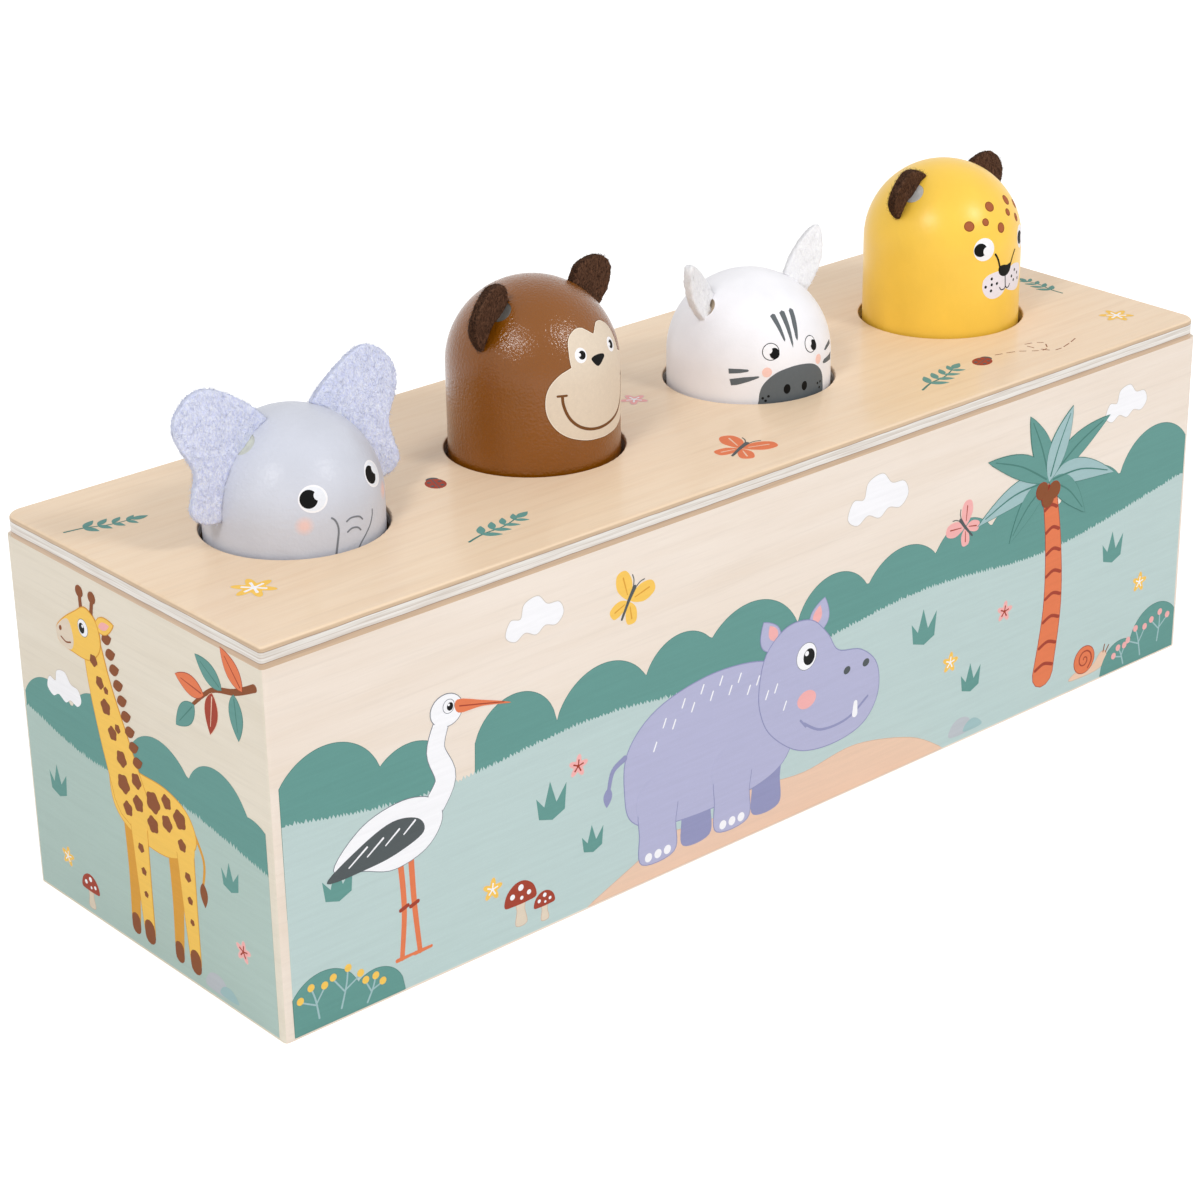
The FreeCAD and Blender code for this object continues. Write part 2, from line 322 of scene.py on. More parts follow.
def ink_material(ink, grain):
    """Matt printing ink through which the grain shows faintly."""
    key = ink + "_ink_" + grain
    if key not in made_inks:
        shader = Shader(key)
        squeeze = {"wall": (0.05, 0.05, 1.0), "top": (0.05, 1.0, 1.0), "head": (1.0, 1.0, 1.0)}[grain]
        fibre = shader.noise(shader.scaled(squeeze), 1100.0, 4.0, 0.65)
        speck = shader.noise(shader.place(), 2400.0, 2.0, 0.6)
        colour = srgb(*inks[ink])
        tone = shader.mix(shader.ramp(fibre, 0.35, 0.75, 0.0, 0.5), colour, shade(colour, 0.88))
        tone = shader.mix(shader.ramp(speck, 0.58, 0.75, 0.0, 0.25), tone, shade(colour, 1.2))
        shader.set(Base_Color=tone, Roughness=0.55, Specular_IOR_Level=0.12)
        shader.set(Normal=shader.bump(fibre, 0.08, 0.00005))
        made_inks[key] = shader.material
    return made_inks[key]


def felt_material(name, pale, deep, dark_fleck):
    """Matted wool: mixed fibres of close colours, rough and slightly fuzzy."""
    shader = Shader(name)
    swirl = shader.noise(shader.place(), 700.0, 3.0, 0.7)
    warped = shader.node("ShaderNodeVectorMath", {0: shader.place()}, operation="ADD")
    offset = shader.node("ShaderNodeTexNoise", {"Vector": shader.place(), "Scale": 420.0, "Detail": 2.0})
    shrink = shader.node("ShaderNodeVectorMath", {0: offset.outputs["Color"], "Scale": 0.0016}, operation="SCALE")
    shader.feed(warped.inputs[1], shrink.outputs["Vector"])
    combed = shader.node("ShaderNodeMapping", {"Vector": warped.outputs["Vector"], "Scale": (1.0, 1.0, 0.4)})
    shader.feed(combed.inputs["Rotation"], (0.4, 0.6, 0.2))
    threads = shader.noise(combed.outputs["Vector"], 2600.0, 4.0, 0.7)
    tone = shader.mix(shader.ramp(threads, 0.38, 0.62), deep, pale)
    tone = shader.mix(shader.ramp(swirl, 0.40, 0.7, 0.0, 0.3), tone, deep)
    fleck = shader.noise(warped.outputs["Vector"], 3600.0, 2.0, 0.5)
    tone = shader.mix(shader.ramp(fleck, 0.58, 0.72, 0.0, 0.45), tone, dark_fleck)
    height = shader.math("ADD", threads, shader.math("MULTIPLY", fleck, 0.5))
    shader.set(Base_Color=tone, Roughness=0.95, Specular_IOR_Level=0.1)
    shader.set(Sheen_Weight=0.25, Sheen_Roughness=0.6, Sheen_Tint=pale)
    shader.set(Normal=shader.bump(height, 0.8, 0.0004))
    return shader.material


def glue_material(name, colour):
    shader = Shader(name)
    cloud = shader.noise(shader.place(), 600.0, 3.0)
    tone = shader.mix(shader.ramp(cloud, 0.3, 0.7), colour, shade(colour, 0.8))
    shader.set(Base_Color=tone, Roughness=0.35, Normal=shader.bump(cloud, 0.4, 0.0003))
    return shader.material


def set_material(obj, *materials):
    obj.data.materials.clear()
    for material in materials:
        obj.data.materials.append(material)


# Outlines, as lists of points in millimetres


def polar(angle, radius):
    return (radius * math.cos(math.radians(angle)), radius * math.sin(math.radians(angle)))


def spaced(low, high, count):
    return [low + (high - low) * step / (count - 1) for step in range(count)]


def ellipse(x, y, reach_x, reach_y=None, turn=0.0, count=28):
    reach_y = reach_x if reach_y is None else reach_y
    angles = [2 * math.pi * step / count for step in range(count)]
    return put([(reach_x * math.cos(angle), reach_y * math.sin(angle)) for angle in angles], x, y, 1.0, turn)


def put(outline, x, y, size=1.0, turn=0.0, flip=False):
    """Outline scaled, turned by an angle and moved."""
    cosine = math.cos(math.radians(turn))
    sine = math.sin(math.radians(turn))
    side = -1 if flip else 1
    result = []
    for px, py in outline:
        px = px * size
        py = py * size
        result.append((x + side * (px * cosine - py * sine), y + px * sine + py * cosine))
    return result


def smooth(points, closed=True, steps=6):
    """Curve that passes through every point."""
    count = len(points)
    result = []
    for index in range(count if closed else count - 1):
        picked = []
        for offset in (-1, 0, 1, 2):
            place = index + offset
            place = place % count if closed else min(max(place, 0), count - 1)
            picked.append(points[place])
        for step in range(steps):
            result.append(curve_point(picked, step / steps))
    if not closed:
        result.append(points[-1])
    return result


def curve_point(picked, t):
    result = []
    for a, b, c, d in zip(*picked):
        square = (2 * a - 5 * b + 4 * c - d) * t * t
        cube = (3 * b - a - 3 * c + d) * t ** 3
        result.append(0.5 * (2 * b + (c - a) * t + square + cube))
    return tuple(result)


def ribbon(points, width, end_width=None, steps=6):
    """Stroke along a smooth line, tapered from one width to another, with round ends."""
    end_width = width if end_width is None else end_width
    line = smooth(points, False, steps) if len(points) > 2 else list(points)
    last = len(line) - 1
    sides = ([], [])
    for index, (x, y) in enumerate(line):
        before = line[max(index - 1, 0)]
        after = line[min(index + 1, last)]
        angle = math.atan2(after[1] - before[1], after[0] - before[0])
        share = index / last
        half = (width + (end_width - width) * share) / 2
        sides[0].append((x - half * math.sin(angle), y + half * math.cos(angle)))
        sides[1].append((x + half * math.sin(angle), y - half * math.cos(angle)))
        if index == last:
            cap = round_cap(x, y, angle, half)
        if index == 0:
            start_cap = round_cap(x, y, angle + math.pi, half)
    return sides[0] + cap + sides[1][::-1] + start_cap


def round_cap(x, y, angle, half):
    """Points round the end of a stroke, none where it is fine."""
    fine = 0.06
    if half < fine:
        return []
    turns = [angle + math.radians(step) for step in (60, 30, 0, -30, -60)]
    return [(x + half * math.cos(turn), y + half * math.sin(turn)) for turn in turns]


def leaf(x, y, length, width, turn=0.0, bend=0.0):
    """Pointed leaf from its base."""
    upper = []
    lower = []
    count = 12
    for step in range(count + 1):
        share = step / count
        half = 0.5 * width * math.sin(math.pi * share ** 0.85) ** 0.9
        sag = bend * share * share
        upper.append((share * length, half + sag))
        lower.append((share * length, sag - half))
    return put(upper + lower[-2:0:-1], x, y, 1.0, turn)


def flower(x, y, petals, reach, depth, turn=0.0):
    result = []
    count = petals * 10
    for step in range(count):
        angle = 2 * math.pi * step / count
        radius = reach * (1 - depth + depth * math.cos(petals * angle))
        result.append((radius * math.cos(angle), radius * math.sin(angle)))
    return put(result, x, y, 1.0, turn)


def mound(bumps, floor, step=0.9):
    """Flat-bottomed heap of round bumps, each given by its middle and its reach."""
    low = min(x - reach for x, y, reach in bumps)
    high = max(x + reach for x, y, reach in bumps)
    low = max(low, -half_length + print_margin)
    high = min(high, half_length - print_margin)
    count = max(4, int((high - low) / step))
    result = [(low, floor)]
    for index in range(count + 1):
        place = low + (high - low) * index / count
        top = floor + 0.1
        for x, y, reach in bumps:
            if abs(place - x) < reach:
                top = max(top, y + math.sqrt(reach * reach - (place - x) ** 2))
        result.append((place, top))
    result.append((high, floor))
    return result


def ragged(points, floor, seed):
    """Ground under a smooth line whose upper edge is made of short grass blades."""
    pitch = 0.9
    blade = 1.1
    rng = random.Random(seed)
    line = smooth(points, False, 12)
    result = [(line[0][0], floor), line[0]]
    place = line[0][0] + pitch
    index = 0
    while place < line[-1][0] - pitch:
        while line[index + 1][0] < place:
            index += 1
        start, end = line[index], line[index + 1]
        share = (place - start[0]) / (end[0] - start[0])
        height = start[1] + share * (end[1] - start[1])
        lean = rng.uniform(0.1, 0.7)
        result.append((place, height))
        result.append((place + pitch * lean, height + blade * rng.uniform(0.4, 1.0)))
        place += pitch * rng.uniform(0.9, 1.3)
    result += [line[-1], (line[-1][0], floor)]
    return result


def grow(outline, amount):
    """Outline moved outward by a small amount."""
    area = 0.0
    for (ax, ay), (bx, by) in zip(outline, outline[1:] + outline[:1]):
        area += ax * by - bx * ay
    side = 1 if area > 0 else -1
    result = []
    for before, (x, y), after in zip(outline[-1:] + outline[:-1], outline, outline[1:] + outline[:1]):
        dx = after[0] - before[0]
        dy = after[1] - before[1]
        length = math.hypot(dx, dy) or 1.0
        result.append((x + side * amount * dy / length, y - side * amount * dx / length))
    return result


class Art:
    """Shapes of one printed face, each with its ink and layer, in its motif's own place."""

    def __init__(self):
        self.shapes = []
        self.at(0, 0)

    def at(self, x, y, size=1.0, turn=0.0, flip=False, layer=0):
        self.stand = (x, y, size, turn, flip)
        self.base = layer
        return self

    def add(self, ink, layer, outline, edge=None, width=0.22):
        outline = put(outline, *self.stand)
        layer += self.base
        if edge:
            self.shapes.append((edge, layer, grow(outline, width)))
            layer += 1
        self.shapes.append((ink, layer, outline))

    def blob(self, ink, layer, points, edge=None, width=0.22):
        self.add(ink, layer, smooth(points), edge, width)

    def stroke(self, ink, layer, points, width, end_width=None):
        self.add(ink, layer, ribbon(points, width, end_width))

    def oval(self, ink, layer, x, y, reach_x, reach_y=None, turn=0.0, count=28):
        self.add(ink, layer, ellipse(x, y, reach_x, reach_y, turn, count))


# Motifs, each standing on its own origin


def draw_eye(art, layer, x, y, size):
    art.add("white", layer, ellipse(x, y, size, size * 1.05), "grey_line", 0.15)
    art.oval("black", layer + 2, x + size * 0.25, y - size * 0.1, size * 0.58, size * 0.66)
    art.oval("white", layer + 3, x + size * 0.02, y + size * 0.22, size * 0.2, count=14)


def draw_tuft(art):
    blades = [(-3.6, 0.4), (-4.2, 5.4), (-2.1, 2.8), (-0.4, 8.2), (1.2, 3.0), (4.0, 6.6), (3.4, 0.6), (0, -0.8)]
    art.add("teal", 0, blades)


def draw_flower(art, reach, ink, heart, petals=5, turn=10.0):
    art.add(ink, 0, flower(0, 0, petals, reach, 0.26, turn), "halo", 0.16)
    for step in range(petals):
        art.stroke(heart, 2, [(0, 0), polar(turn + 360 * step / petals, 0.5 * reach)], reach * 0.09, reach * 0.14)
    art.oval(heart, 3, 0, 0, reach * 0.15, count=12)


def draw_cloud(art):
    outline = [(-11, -1), (-9, 3.6), (-5, 3.2), (-3.4, 7.6), (2, 8.8), (5.6, 5.2), (10.4, 4.4), (12, 0.4),
               (9, -2.6), (4.6, -1.6), (1, -3.6), (-3.4, -1.8), (-7.4, -3.6)]
    art.blob("white", 0, outline, "halo", 0.2)


def draw_mushroom(art):
    cap = [(-5.2, 6.4), (-4.4, 9.8), (-1.6, 12), (1.6, 12), (4.4, 9.8), (5.2, 6.4), (2.4, 5.8), (-2.4, 5.8)]
    art.blob("cream", 0, [(-1.6, 0), (-1.2, 4), (-1.4, 7), (1.4, 7), (1.2, 4), (1.8, 0)], "deep_peach", 0.14)
    art.blob("rust", 2, cap)
    for x, y, reach in ((-2.6, 8.6, 0.8), (0.2, 10.4, 0.9), (2.8, 8.2, 0.7), (0.4, 7.4, 0.55)):
        art.oval("white", 3, x, y, reach, count=14)


def draw_stones(art):
    art.blob("stone", 0, [(-6, 0), (-5, 3.6), (-1.6, 5), (2, 3.8), (3, 0)])
    art.blob("mist", 1, [(0, 0), (1, 2.4), (4, 3.2), (6.6, 1.8), (7.2, 0)])


def draw_spray(art, ink="teal"):
    """Curved stalk with pairs of leaves."""
    art.stroke("deep_teal", 0, [(0, 0), (6, 1), (13, 0.6), (20, 2.2)], 0.7, 0.35)
    for share in spaced(0.28, 0.9, 4):
        length = 6.2 - 2.4 * share
        for side in (-1, 1):
            art.add(ink, 1, leaf(20 * share, 1.0 + 0.8 * share, length, length * 0.42, side * 48))
    art.add(ink, 1, leaf(19.4, 2.0, 5.0, 2.4, 10))


def draw_butterfly(art, ink, line):
    for side in (-1, 1):
        upper = [(0.4, 0), (1.4, 5.6), (5.4, 8.2), (7.8, 5.6), (5.4, 1.6)]
        lower = [(-0.4, 0), (-1.0, 3.6), (-4.6, 5.6), (-6.4, 3.0), (-4.0, 0.8)]
        for wing, vein in ((upper, [(1.6, 1.6), (5.6, 5.6)]), (lower, [(-1.4, 1.2), (-4.4, 3.6)])):
            art.blob(ink, 0, [(x, y * side) for x, y in wing])
            art.stroke(line, 1, [(x, y * side) for x, y in vein], 0.3, 0.5)
        art.stroke("slate", 2, [(3.4, 0.2 * side), (6.0, 1.2 * side), (7.4, 2.6 * side)], 0.3)
    art.stroke("slate", 3, [(-5.6, 0), (0, 0.2), (4.2, 0)], 0.7, 1.5)


def draw_ladybird(art):
    art.oval("slate", 0, 3.2, 0, 1.7, 1.9)
    art.oval("rust", 1, 0, 0, 3.8, 3.1)
    art.stroke("slate", 2, [(-3.7, 0), (3.4, 0)], 0.3)
    for x, y in ((-1.6, 1.5), (1.3, 1.6), (-1.6, -1.5), (1.3, -1.6)):
        art.oval("slate", 2, x, y, 0.62, count=12)


def draw_trail(art, points):
    """Dashed line."""
    dash = 1.5
    gap = 1.2
    line = smooth(points, False, 10)
    first = line[0]
    travelled = 0.0
    drawing = True
    for before, after in zip(line, line[1:]):
        travelled += math.dist(before, after)
        if travelled >= (dash if drawing else gap):
            if drawing:
                art.stroke("brown", 0, [first, after], 0.28)
            drawing = not drawing
            travelled = 0.0
            first = after


def draw_snail(art):
    body = [(-9, 0.2), (-4, 2.4), (3, 2.2), (6.4, 5.4), (9.2, 5.4), (9.6, 2.2), (6, 0), (-2, -0.4)]
    art.blob("peach", 0, body, "deep_peach", 0.15)
    art.stroke("brown", 2, [(8.0, 5.4), (8.6, 8.0)], 0.4)
    art.stroke("brown", 2, [(9.2, 5.0), (10.8, 7.2)], 0.4)
    art.add("orange", 3, ellipse(-1.6, 5.6, 5.0, 4.8), "rust", 0.2)
    spiral = put([polar(42 * step - 60, 4.0 - 0.26 * step) for step in range(15)], -1.6, 5.6)
    art.add("rust", 5, ribbon(spiral, 0.55, 0.4, 3))


def draw_stork(art):
    for foot, knee in ((0.0, 1.2), (5.0, -1.0)):
        art.stroke("orange", 0, [(foot, 0.6), (foot + knee, 13), (foot * 0.6 + 0.6, 26)], 1.3, 1.6)
        art.stroke("rust", 1, [(foot + knee - 1, 12.6), (foot + knee + 1, 13.2)], 1.0)
        art.stroke("orange", 0, [(foot - 1.4, 0.5), (foot + 3.2, 0.6)], 1.0, 0.7)
    art.add("white", 1, ribbon([(9, 33), (14, 40), (11.6, 48), (14, 55)], 6.4, 4.0), "grey_line", 0.18)
    body = [(-17, 29), (-9, 36.6), (2, 39), (10.4, 36.6), (12.6, 31), (8, 25.4), (-1, 23.4), (-9, 26)]
    art.blob("white", 2, body, "grey_line", 0.18)
    art.add("white", 4, ellipse(15, 56.4, 4.4, 3.8, -10), "grey_line", 0.18)
    art.stroke("white", 5, [(9.8, 34), (14, 40), (11.6, 48), (13.8, 54.4)], 5.8, 3.6)
    art.blob("slate", 6, [(-19, 26.6), (-10, 32), (-1, 35), (6, 33.4), (7.4, 29.6), (1, 27.2), (-7, 26.2)])
    for step in range(4):
        feather = [(-13 + 5 * step, 28.2 + 0.9 * step), (-8 + 4.4 * step, 31.4 + 0.6 * step)]
        art.stroke("white", 7, feather, 0.35, 0.5)
    art.blob("orange", 6, [(18, 58), (25, 55.6), (33, 52.4), (25, 54.2), (18.2, 54.8)])
    art.stroke("rust", 7, [(18.6, 56.3), (31, 53.2)], 0.3, 0.2)
    draw_eye(art, 6, 15.6, 57.2, 1.5)


def draw_hippo(art, coat="lavender", deep="deep_lavender"):
    for x in (-14, 9):
        art.blob(deep, 0, [(x - 4, 0.6), (x - 4.4, 8), (x - 4, 16), (x + 5, 16), (x + 5, 8), (x + 4.6, 0.6)])
    body = [(-36, 20), (-35, 31), (-26, 39), (-10, 42.4), (6, 41), (15, 36), (19, 27), (17, 14), (8, 8.6),
            (-10, 7.4), (-26, 9), (-34, 13)]
    art.blob(coat, 1, body, deep, 0.25)
    for x in (-26, -2):
        leg = [(x - 5, 0.4), (x - 5.6, 8), (x - 5, 16), (x + 5.6, 16), (x + 5.6, 8), (x + 5, 0.4)]
        art.blob(coat, 3, leg, deep, 0.25)
        art.oval(coat, 5, x + 0.3, 16, 7.0, 6.2)
        for toe in (-3, 0, 3):
            art.oval("white", 6, x + toe, 1.5, 1.15, 1.2, count=14)
    art.stroke(deep, 5, [(-36, 30), (-39.6, 28), (-41, 23.6)], 1.6, 1.0)
    art.add(deep, 5, leaf(-41, 24.2, 5.0, 2.6, 262))
    for x, turn in ((12.4, 116), (25.4, 70)):
        art.add(coat, 3, leaf(x, 42, 9.4, 6.4, turn), deep)
        art.add("pink", 5, leaf(x, 44.6, 5.0, 3.0, turn))
    head = [(7, 34), (9.4, 42), (16, 46.8), (24, 46.2), (29.6, 41), (33.4, 35.4), (41.4, 33), (47, 27.4), (47.4, 19),
            (42, 12.6), (31, 10.8), (20, 13), (11, 20), (7.4, 27)]
    art.blob(coat, 6, head, deep, 0.25)
    art.stroke(deep, 8, [(22, 19.4), (28, 15.8), (37, 15.8), (44, 19.6)], 0.7)
    art.stroke(deep, 8, [(20.8, 20.6), (22.6, 18.4)], 0.6)
    art.stroke("white", 9, [(39.6, 16.2), (39.8, 19.2)], 1.9, 1.3)
    for x in (36.6, 43.2):
        art.oval("slate", 8, x, 29.0, 1.2, 1.0, 20, 16)
    art.oval("pink", 8, 22.8, 25.6, 3.2, 2.4)
    draw_eye(art, 8, 22.6, 37.2, 3.3)
    for index in range(15):
        x = 3.0 * index - 27
        y = 37.4 - 0.02 * (x + 8) ** 2 + (1.6 if index % 2 else -1.4)
        art.stroke("white", 8, [(x, y), (x + 0.9, y + 2.0)], 0.42)


def draw_giraffe(art):
    for x in (-9.6, 8.4):
        art.stroke("gold", 0, [(x + 1, 2), (x, 16), (x, 30)], 3.6, 5.4)
        art.stroke("brown", 1, [(x + 1, 0.9), (x + 1, 3.0)], 3.6)
    art.stroke("gold", 1, [(-17.6, 38), (-21.6, 31), (-20.6, 24)], 1.1, 0.8)
    art.add("brown", 2, leaf(-20.6, 25, 6.4, 3.0, 268))
    body = [(-18.6, 33), (-16.6, 40.4), (-8, 43.8), (4, 44), (12, 46), (15.4, 40), (14, 31), (6, 26.6), (-8, 26.4)]
    art.blob("yellow", 1, body, "gold", 0.25)
    art.add("yellow", 2, ribbon([(7, 36), (12.4, 50), (16.4, 62), (18.6, 73)], 15.0, 7.0), "gold", 0.25)
    art.stroke("yellow", 4, [(4.4, 34), (8.4, 40)], 11.0, 12.0)
    for x in (-14.6, 4.2):
        art.add("yellow", 3, ribbon([(x - 0.6, 2), (x, 16), (x + 0.4, 31)], 4.0, 7.0), "gold")
        art.stroke("brown", 5, [(x - 0.6, 0.9), (x - 0.6, 3.2)], 4.2)
        art.oval("yellow", 5, x + 0.6, 32, 4.2, 4.6)
    for step in range(9):
        climb = 2 + 3.5 * step
        x = 4.2 + 0.33 * climb - 0.0004 * climb ** 2
        art.add("brown", 4, leaf(x, climb + 43.6, 4.4, 2.8, 158))
    for x, tip in ((18.0, 16.6), (21.6, 21.8)):
        art.stroke("brown", 4, [(x, 76), (tip, 82.6)], 1.2)
        art.oval("brown", 5, tip, 83, 1.5, count=16)
    art.add("yellow", 4, leaf(16.2, 76, 8.4, 4.0, 160), "gold", 0.2)
    art.add("pink", 6, leaf(14.6, 76.5, 5.0, 2.0, 160))
    head = [(14.8, 71), (15.6, 77), (20, 79.4), (24.6, 77), (29.6, 73.8), (33, 70.4), (32, 67.2), (27, 66.4),
            (19.6, 66.6)]
    art.blob("yellow", 6, head, "gold", 0.25)
    art.blob("cream", 8, [(28, 74.2), (33.2, 70.4), (32, 67), (27.6, 66.5), (26, 69.6)])
    art.oval("brown", 9, 31.4, 70.8, 0.55, 0.75, 30, 12)
    art.stroke("brown", 9, [(27.4, 68.4), (29.4, 67.9), (31.4, 68.6)], 0.4)
    draw_eye(art, 8, 21.4, 74.0, 2.0)
    patches = ((-13, 38, 2.6), (-7.6, 35, 2.2), (-8, 40.6, 2.0), (-2.4, 38.4, 2.9), (-1.6, 32.4, 2.3),
               (4, 41.4, 2.1), (4, 35.6, 2.2), (9.6, 38.6, 2.6), (8.6, 32.6, 2.0), (9.6, 45, 2.2),
               (12.6, 50.4, 1.9), (10.2, 52.4, 1.2), (14.6, 56.4, 2.1), (16.2, 62, 1.7), (13.8, 60.8, 1.0),
               (18, 67, 1.6), (-13.2, 31.6, 1.7), (-14.6, 24, 1.3), (-14.8, 18, 1.1), (4.4, 24, 1.3),
               (4.0, 18, 1.1), (-15, 12.4, 0.9), (3.8, 12, 0.9))
    for index, (x, y, reach) in enumerate(patches):
        art.add("brown", 7, flower(x, y, 5, reach, 0.08, index * 37))


def draw_palm(art):
    trunk = [(0, 0.4), (2.4, 18), (1.6, 36), (-1.0, 52)]
    art.add("orange", 0, ribbon(trunk, 7.4, 4.4), "rust", 0.2)
    line = smooth(trunk, False)
    for index in range(1, len(line) - 1, 2):
        x, y = line[index]
        half = 3.2 - 1.3 * index / len(line)
        art.stroke("rust", 2, [(x - half, y - 0.5), (x, y + 0.5), (x + half, y - 0.5)], 0.9)
    fronds = ((170, 24, 9.0, "mist"), (12, 23, -9.0, "mist"), (140, 24, 6.0, "teal"), (42, 24, -6.0, "teal"),
              (104, 20, 3.0, "teal"), (74, 19, -2.6, "mist"), (200, 17, 7.0, "teal"), (-18, 17, -7.0, "teal"))
    for index, (turn, length, bend, ink) in enumerate(fronds):
        art.add(ink, 3 + index % 3, leaf(-1, 52, length, 6.4, turn, bend), "deep_teal", 0.16)
        rib = put([(1.5, 0), (length * 0.5, bend * 0.25), (length * 0.9, bend * 0.81)], -1, 52, 1.0, turn)
        art.stroke("deep_teal", 5 + index % 3, rib, 0.5, 0.25)
    for x, y in ((-3.4, 50.2), (1.0, 49.4), (-1.2, 47.6)):
        art.add("brown", 8, ellipse(x, y, 2.1, 2.2, count=18), "rust", 0.15)


def draw_berry_bush(art, bumps, berry, stalks):
    art.at(0, 0, layer=4)
    art.add("teal", 0, mound(bumps, 0.7, 0.6), "deep_teal", 0.12)
    for x, y, reach, turn in stalks:
        art.at(x, y, 1.0, turn, layer=4)
        art.stroke("mist", 2, [(0, 0), (0.3, reach * 0.6), (0, reach)], 0.5, 0.4)
        for side in (-1, 1):
            art.stroke("mist", 2, [(0, reach * 0.45), (side * reach * 0.4, reach * 0.8)], 0.4)
            art.oval(berry, 3, side * reach * 0.42, reach * 0.86, 0.95, count=14)
        art.oval(berry, 3, 0, reach * 1.05, 0.95, count=14)


def draw_branch(art):
    art.stroke("brown", 0, [(0, 0), (8, -1.6), (17, -2.0), (26, -6)], 1.9, 0.8)
    leaves = ((5, -1.2, 62, "orange"), (8.6, -2.2, -80, "teal"), (13, -1.6, 44, "teal"), (17, -2.6, -66, "rust"),
              (20.6, -3.4, 22, "orange"), (25.4, -6, -30, "teal"))
    for x, y, angle, ink in leaves:
        line = {"orange": "rust", "teal": "deep_teal", "rust": "peach"}[ink]
        art.add(ink, 1, leaf(x, y, 10.5, 4.8, angle), line, 0.14)
        art.stroke(line, 3, put([(1, 0), (8.4, 0)], x, y, 1.0, angle), 0.35, 0.2)


# Printed faces of the case


def long_wall_art(hills, hill_floor, grass, seed, clouds):
    """Artwork of a long wall, begun with its hills, its grass and its clouds."""
    art = Art()
    art.add("teal", 0, mound(hills, hill_floor), "deep_teal", 0.12)
    art.add("sage", 2, ragged(grass, ground, seed))
    for x, y, size in clouds:
        draw_cloud(art.at(x, y, size))
    return art


def scatter(art, tufts, flowers):
    """Tufts of grass, and small yellow or pink flowers."""
    for x, y, size in tufts:
        draw_tuft(art.at(x, y, size, layer=4))
    for x, y, reach, ink in flowers:
        draw_flower(art.at(x, y, layer=4), reach, ink, "white" if ink == "yellow" else "rust")


def front_art():
    edge = half_length - print_margin
    hills = [(-edge + 12, 52, 15), (-edge + 34, 48, 12), (-84, 50, 12), (-58, 46, 15), (-34, 49, 12), (-12, 45, 17),
             (16, 48, 13), (40, 46, 15), (62, 50, 12), (84, 47, 16), (110, 49, 14), (edge - 12, 53, 15)]
    grass = [(-edge, 52), (-110, 46), (-60, 48), (-10, 43), (45, 47), (95, 44), (edge, 51)]
    art = long_wall_art(hills, 30, grass, 4, ((-78, 77, 0.72), (30, 74.6, 0.9), (122, 76, 0.7)))
    soil = [(-64, 0.7), (-50, 6), (-38, 10.4), (-26, 9), (-12, 12.6), (6, 11), (24, 12.4), (44, 7.6), (56, 0.7)]
    art.at(0, 0).add("peach", 3, smooth(soil, False), "deep_peach", 0.14)
    draw_stork(art.at(-118, 8, layer=4))
    draw_hippo(art.at(-16, 5, layer=4))
    draw_palm(art.at(94, 9, 1.05, layer=4))
    draw_butterfly(art.at(-50, 74, 0.8, 60, layer=3), "yellow", "gold")
    draw_butterfly(art.at(62, 60, 0.7, 130, layer=4), "pink", "rust")
    scatter(
        art,
        ((-134, 30, 1.0), (-74, 28, 1.1), (-62, 15, 0.8), (48, 33, 1.1), (66, 14, 0.9), (120, 34, 1.0)),
        ((-92, 16, 2.9, "yellow"), (-66, 38, 2.9, "pink"), (58, 24, 2.9, "yellow"), (78, 32, 2.9, "pink"),
         (132, 24, 2.9, "yellow")),
    )
    draw_mushroom(art.at(-84, 4, 0.9, layer=4))
    draw_mushroom(art.at(-77, 2.6, 0.6, layer=4))
    draw_stones(art.at(64, 2.4, 0.9, layer=4))
    draw_snail(art.at(112, 3.4, 0.8, layer=4))
    left_stalks = ((-141, 3, 8, 12), (-135, 3, 9, -14), (-128, 1.6, 6, -24))
    draw_berry_bush(art, [(-edge + 8, 4, 10), (-edge + 22, 1, 8)], "yellow", left_stalks)
    right_stalks = ((141, 4, 8, -4), (134, 2, 8.4, 16), (127, 1.6, 5.6, 24))
    draw_berry_bush(art, [(edge - 8, 5, 10.5), (edge - 22, 1, 8)], "pink", right_stalks)
    return art


def back_art():
    edge = half_length - print_margin
    hills = [(-edge + 14, 47, 15), (-108, 50, 12), (-80, 46, 16), (-52, 50, 11), (-28, 47, 14), (0, 50, 13),
             (26, 46, 15), (54, 49, 12), (80, 46, 14), (106, 50, 13), (edge - 12, 46, 15)]
    grass = [(-edge, 44), (-90, 49), (-40, 43), (10, 48), (60, 44), (105, 48), (edge, 45)]
    art = long_wall_art(hills, 28, grass, 21, ((-104, 75, 0.9), (4, 77, 0.7), (104, 74, 0.8)))
    draw_giraffe(art.at(-52, 4, 0.98, layer=4))
    draw_stork(art.at(52, 8, flip=True, layer=4))
    draw_palm(art.at(-112, 8, flip=True, layer=4))
    draw_hippo(art.at(104, 6, 0.66, flip=True, layer=4))
    draw_snail(art.at(4, 4, flip=True, layer=4))
    scatter(
        art,
        ((-134, 28, 1.0), (-80, 18, 0.9), (-16, 30, 1.1), (22, 14, 0.9), (76, 34, 1.0), (134, 24, 0.9)),
        ((-92, 34, 2.8, "pink"), (-20, 12, 2.8, "yellow"), (24, 34, 2.8, "pink"), (69, 12, 2.8, "yellow")),
    )
    draw_butterfly(art.at(14, 68, 0.8, 100, layer=3), "yellow", "gold")
    return art


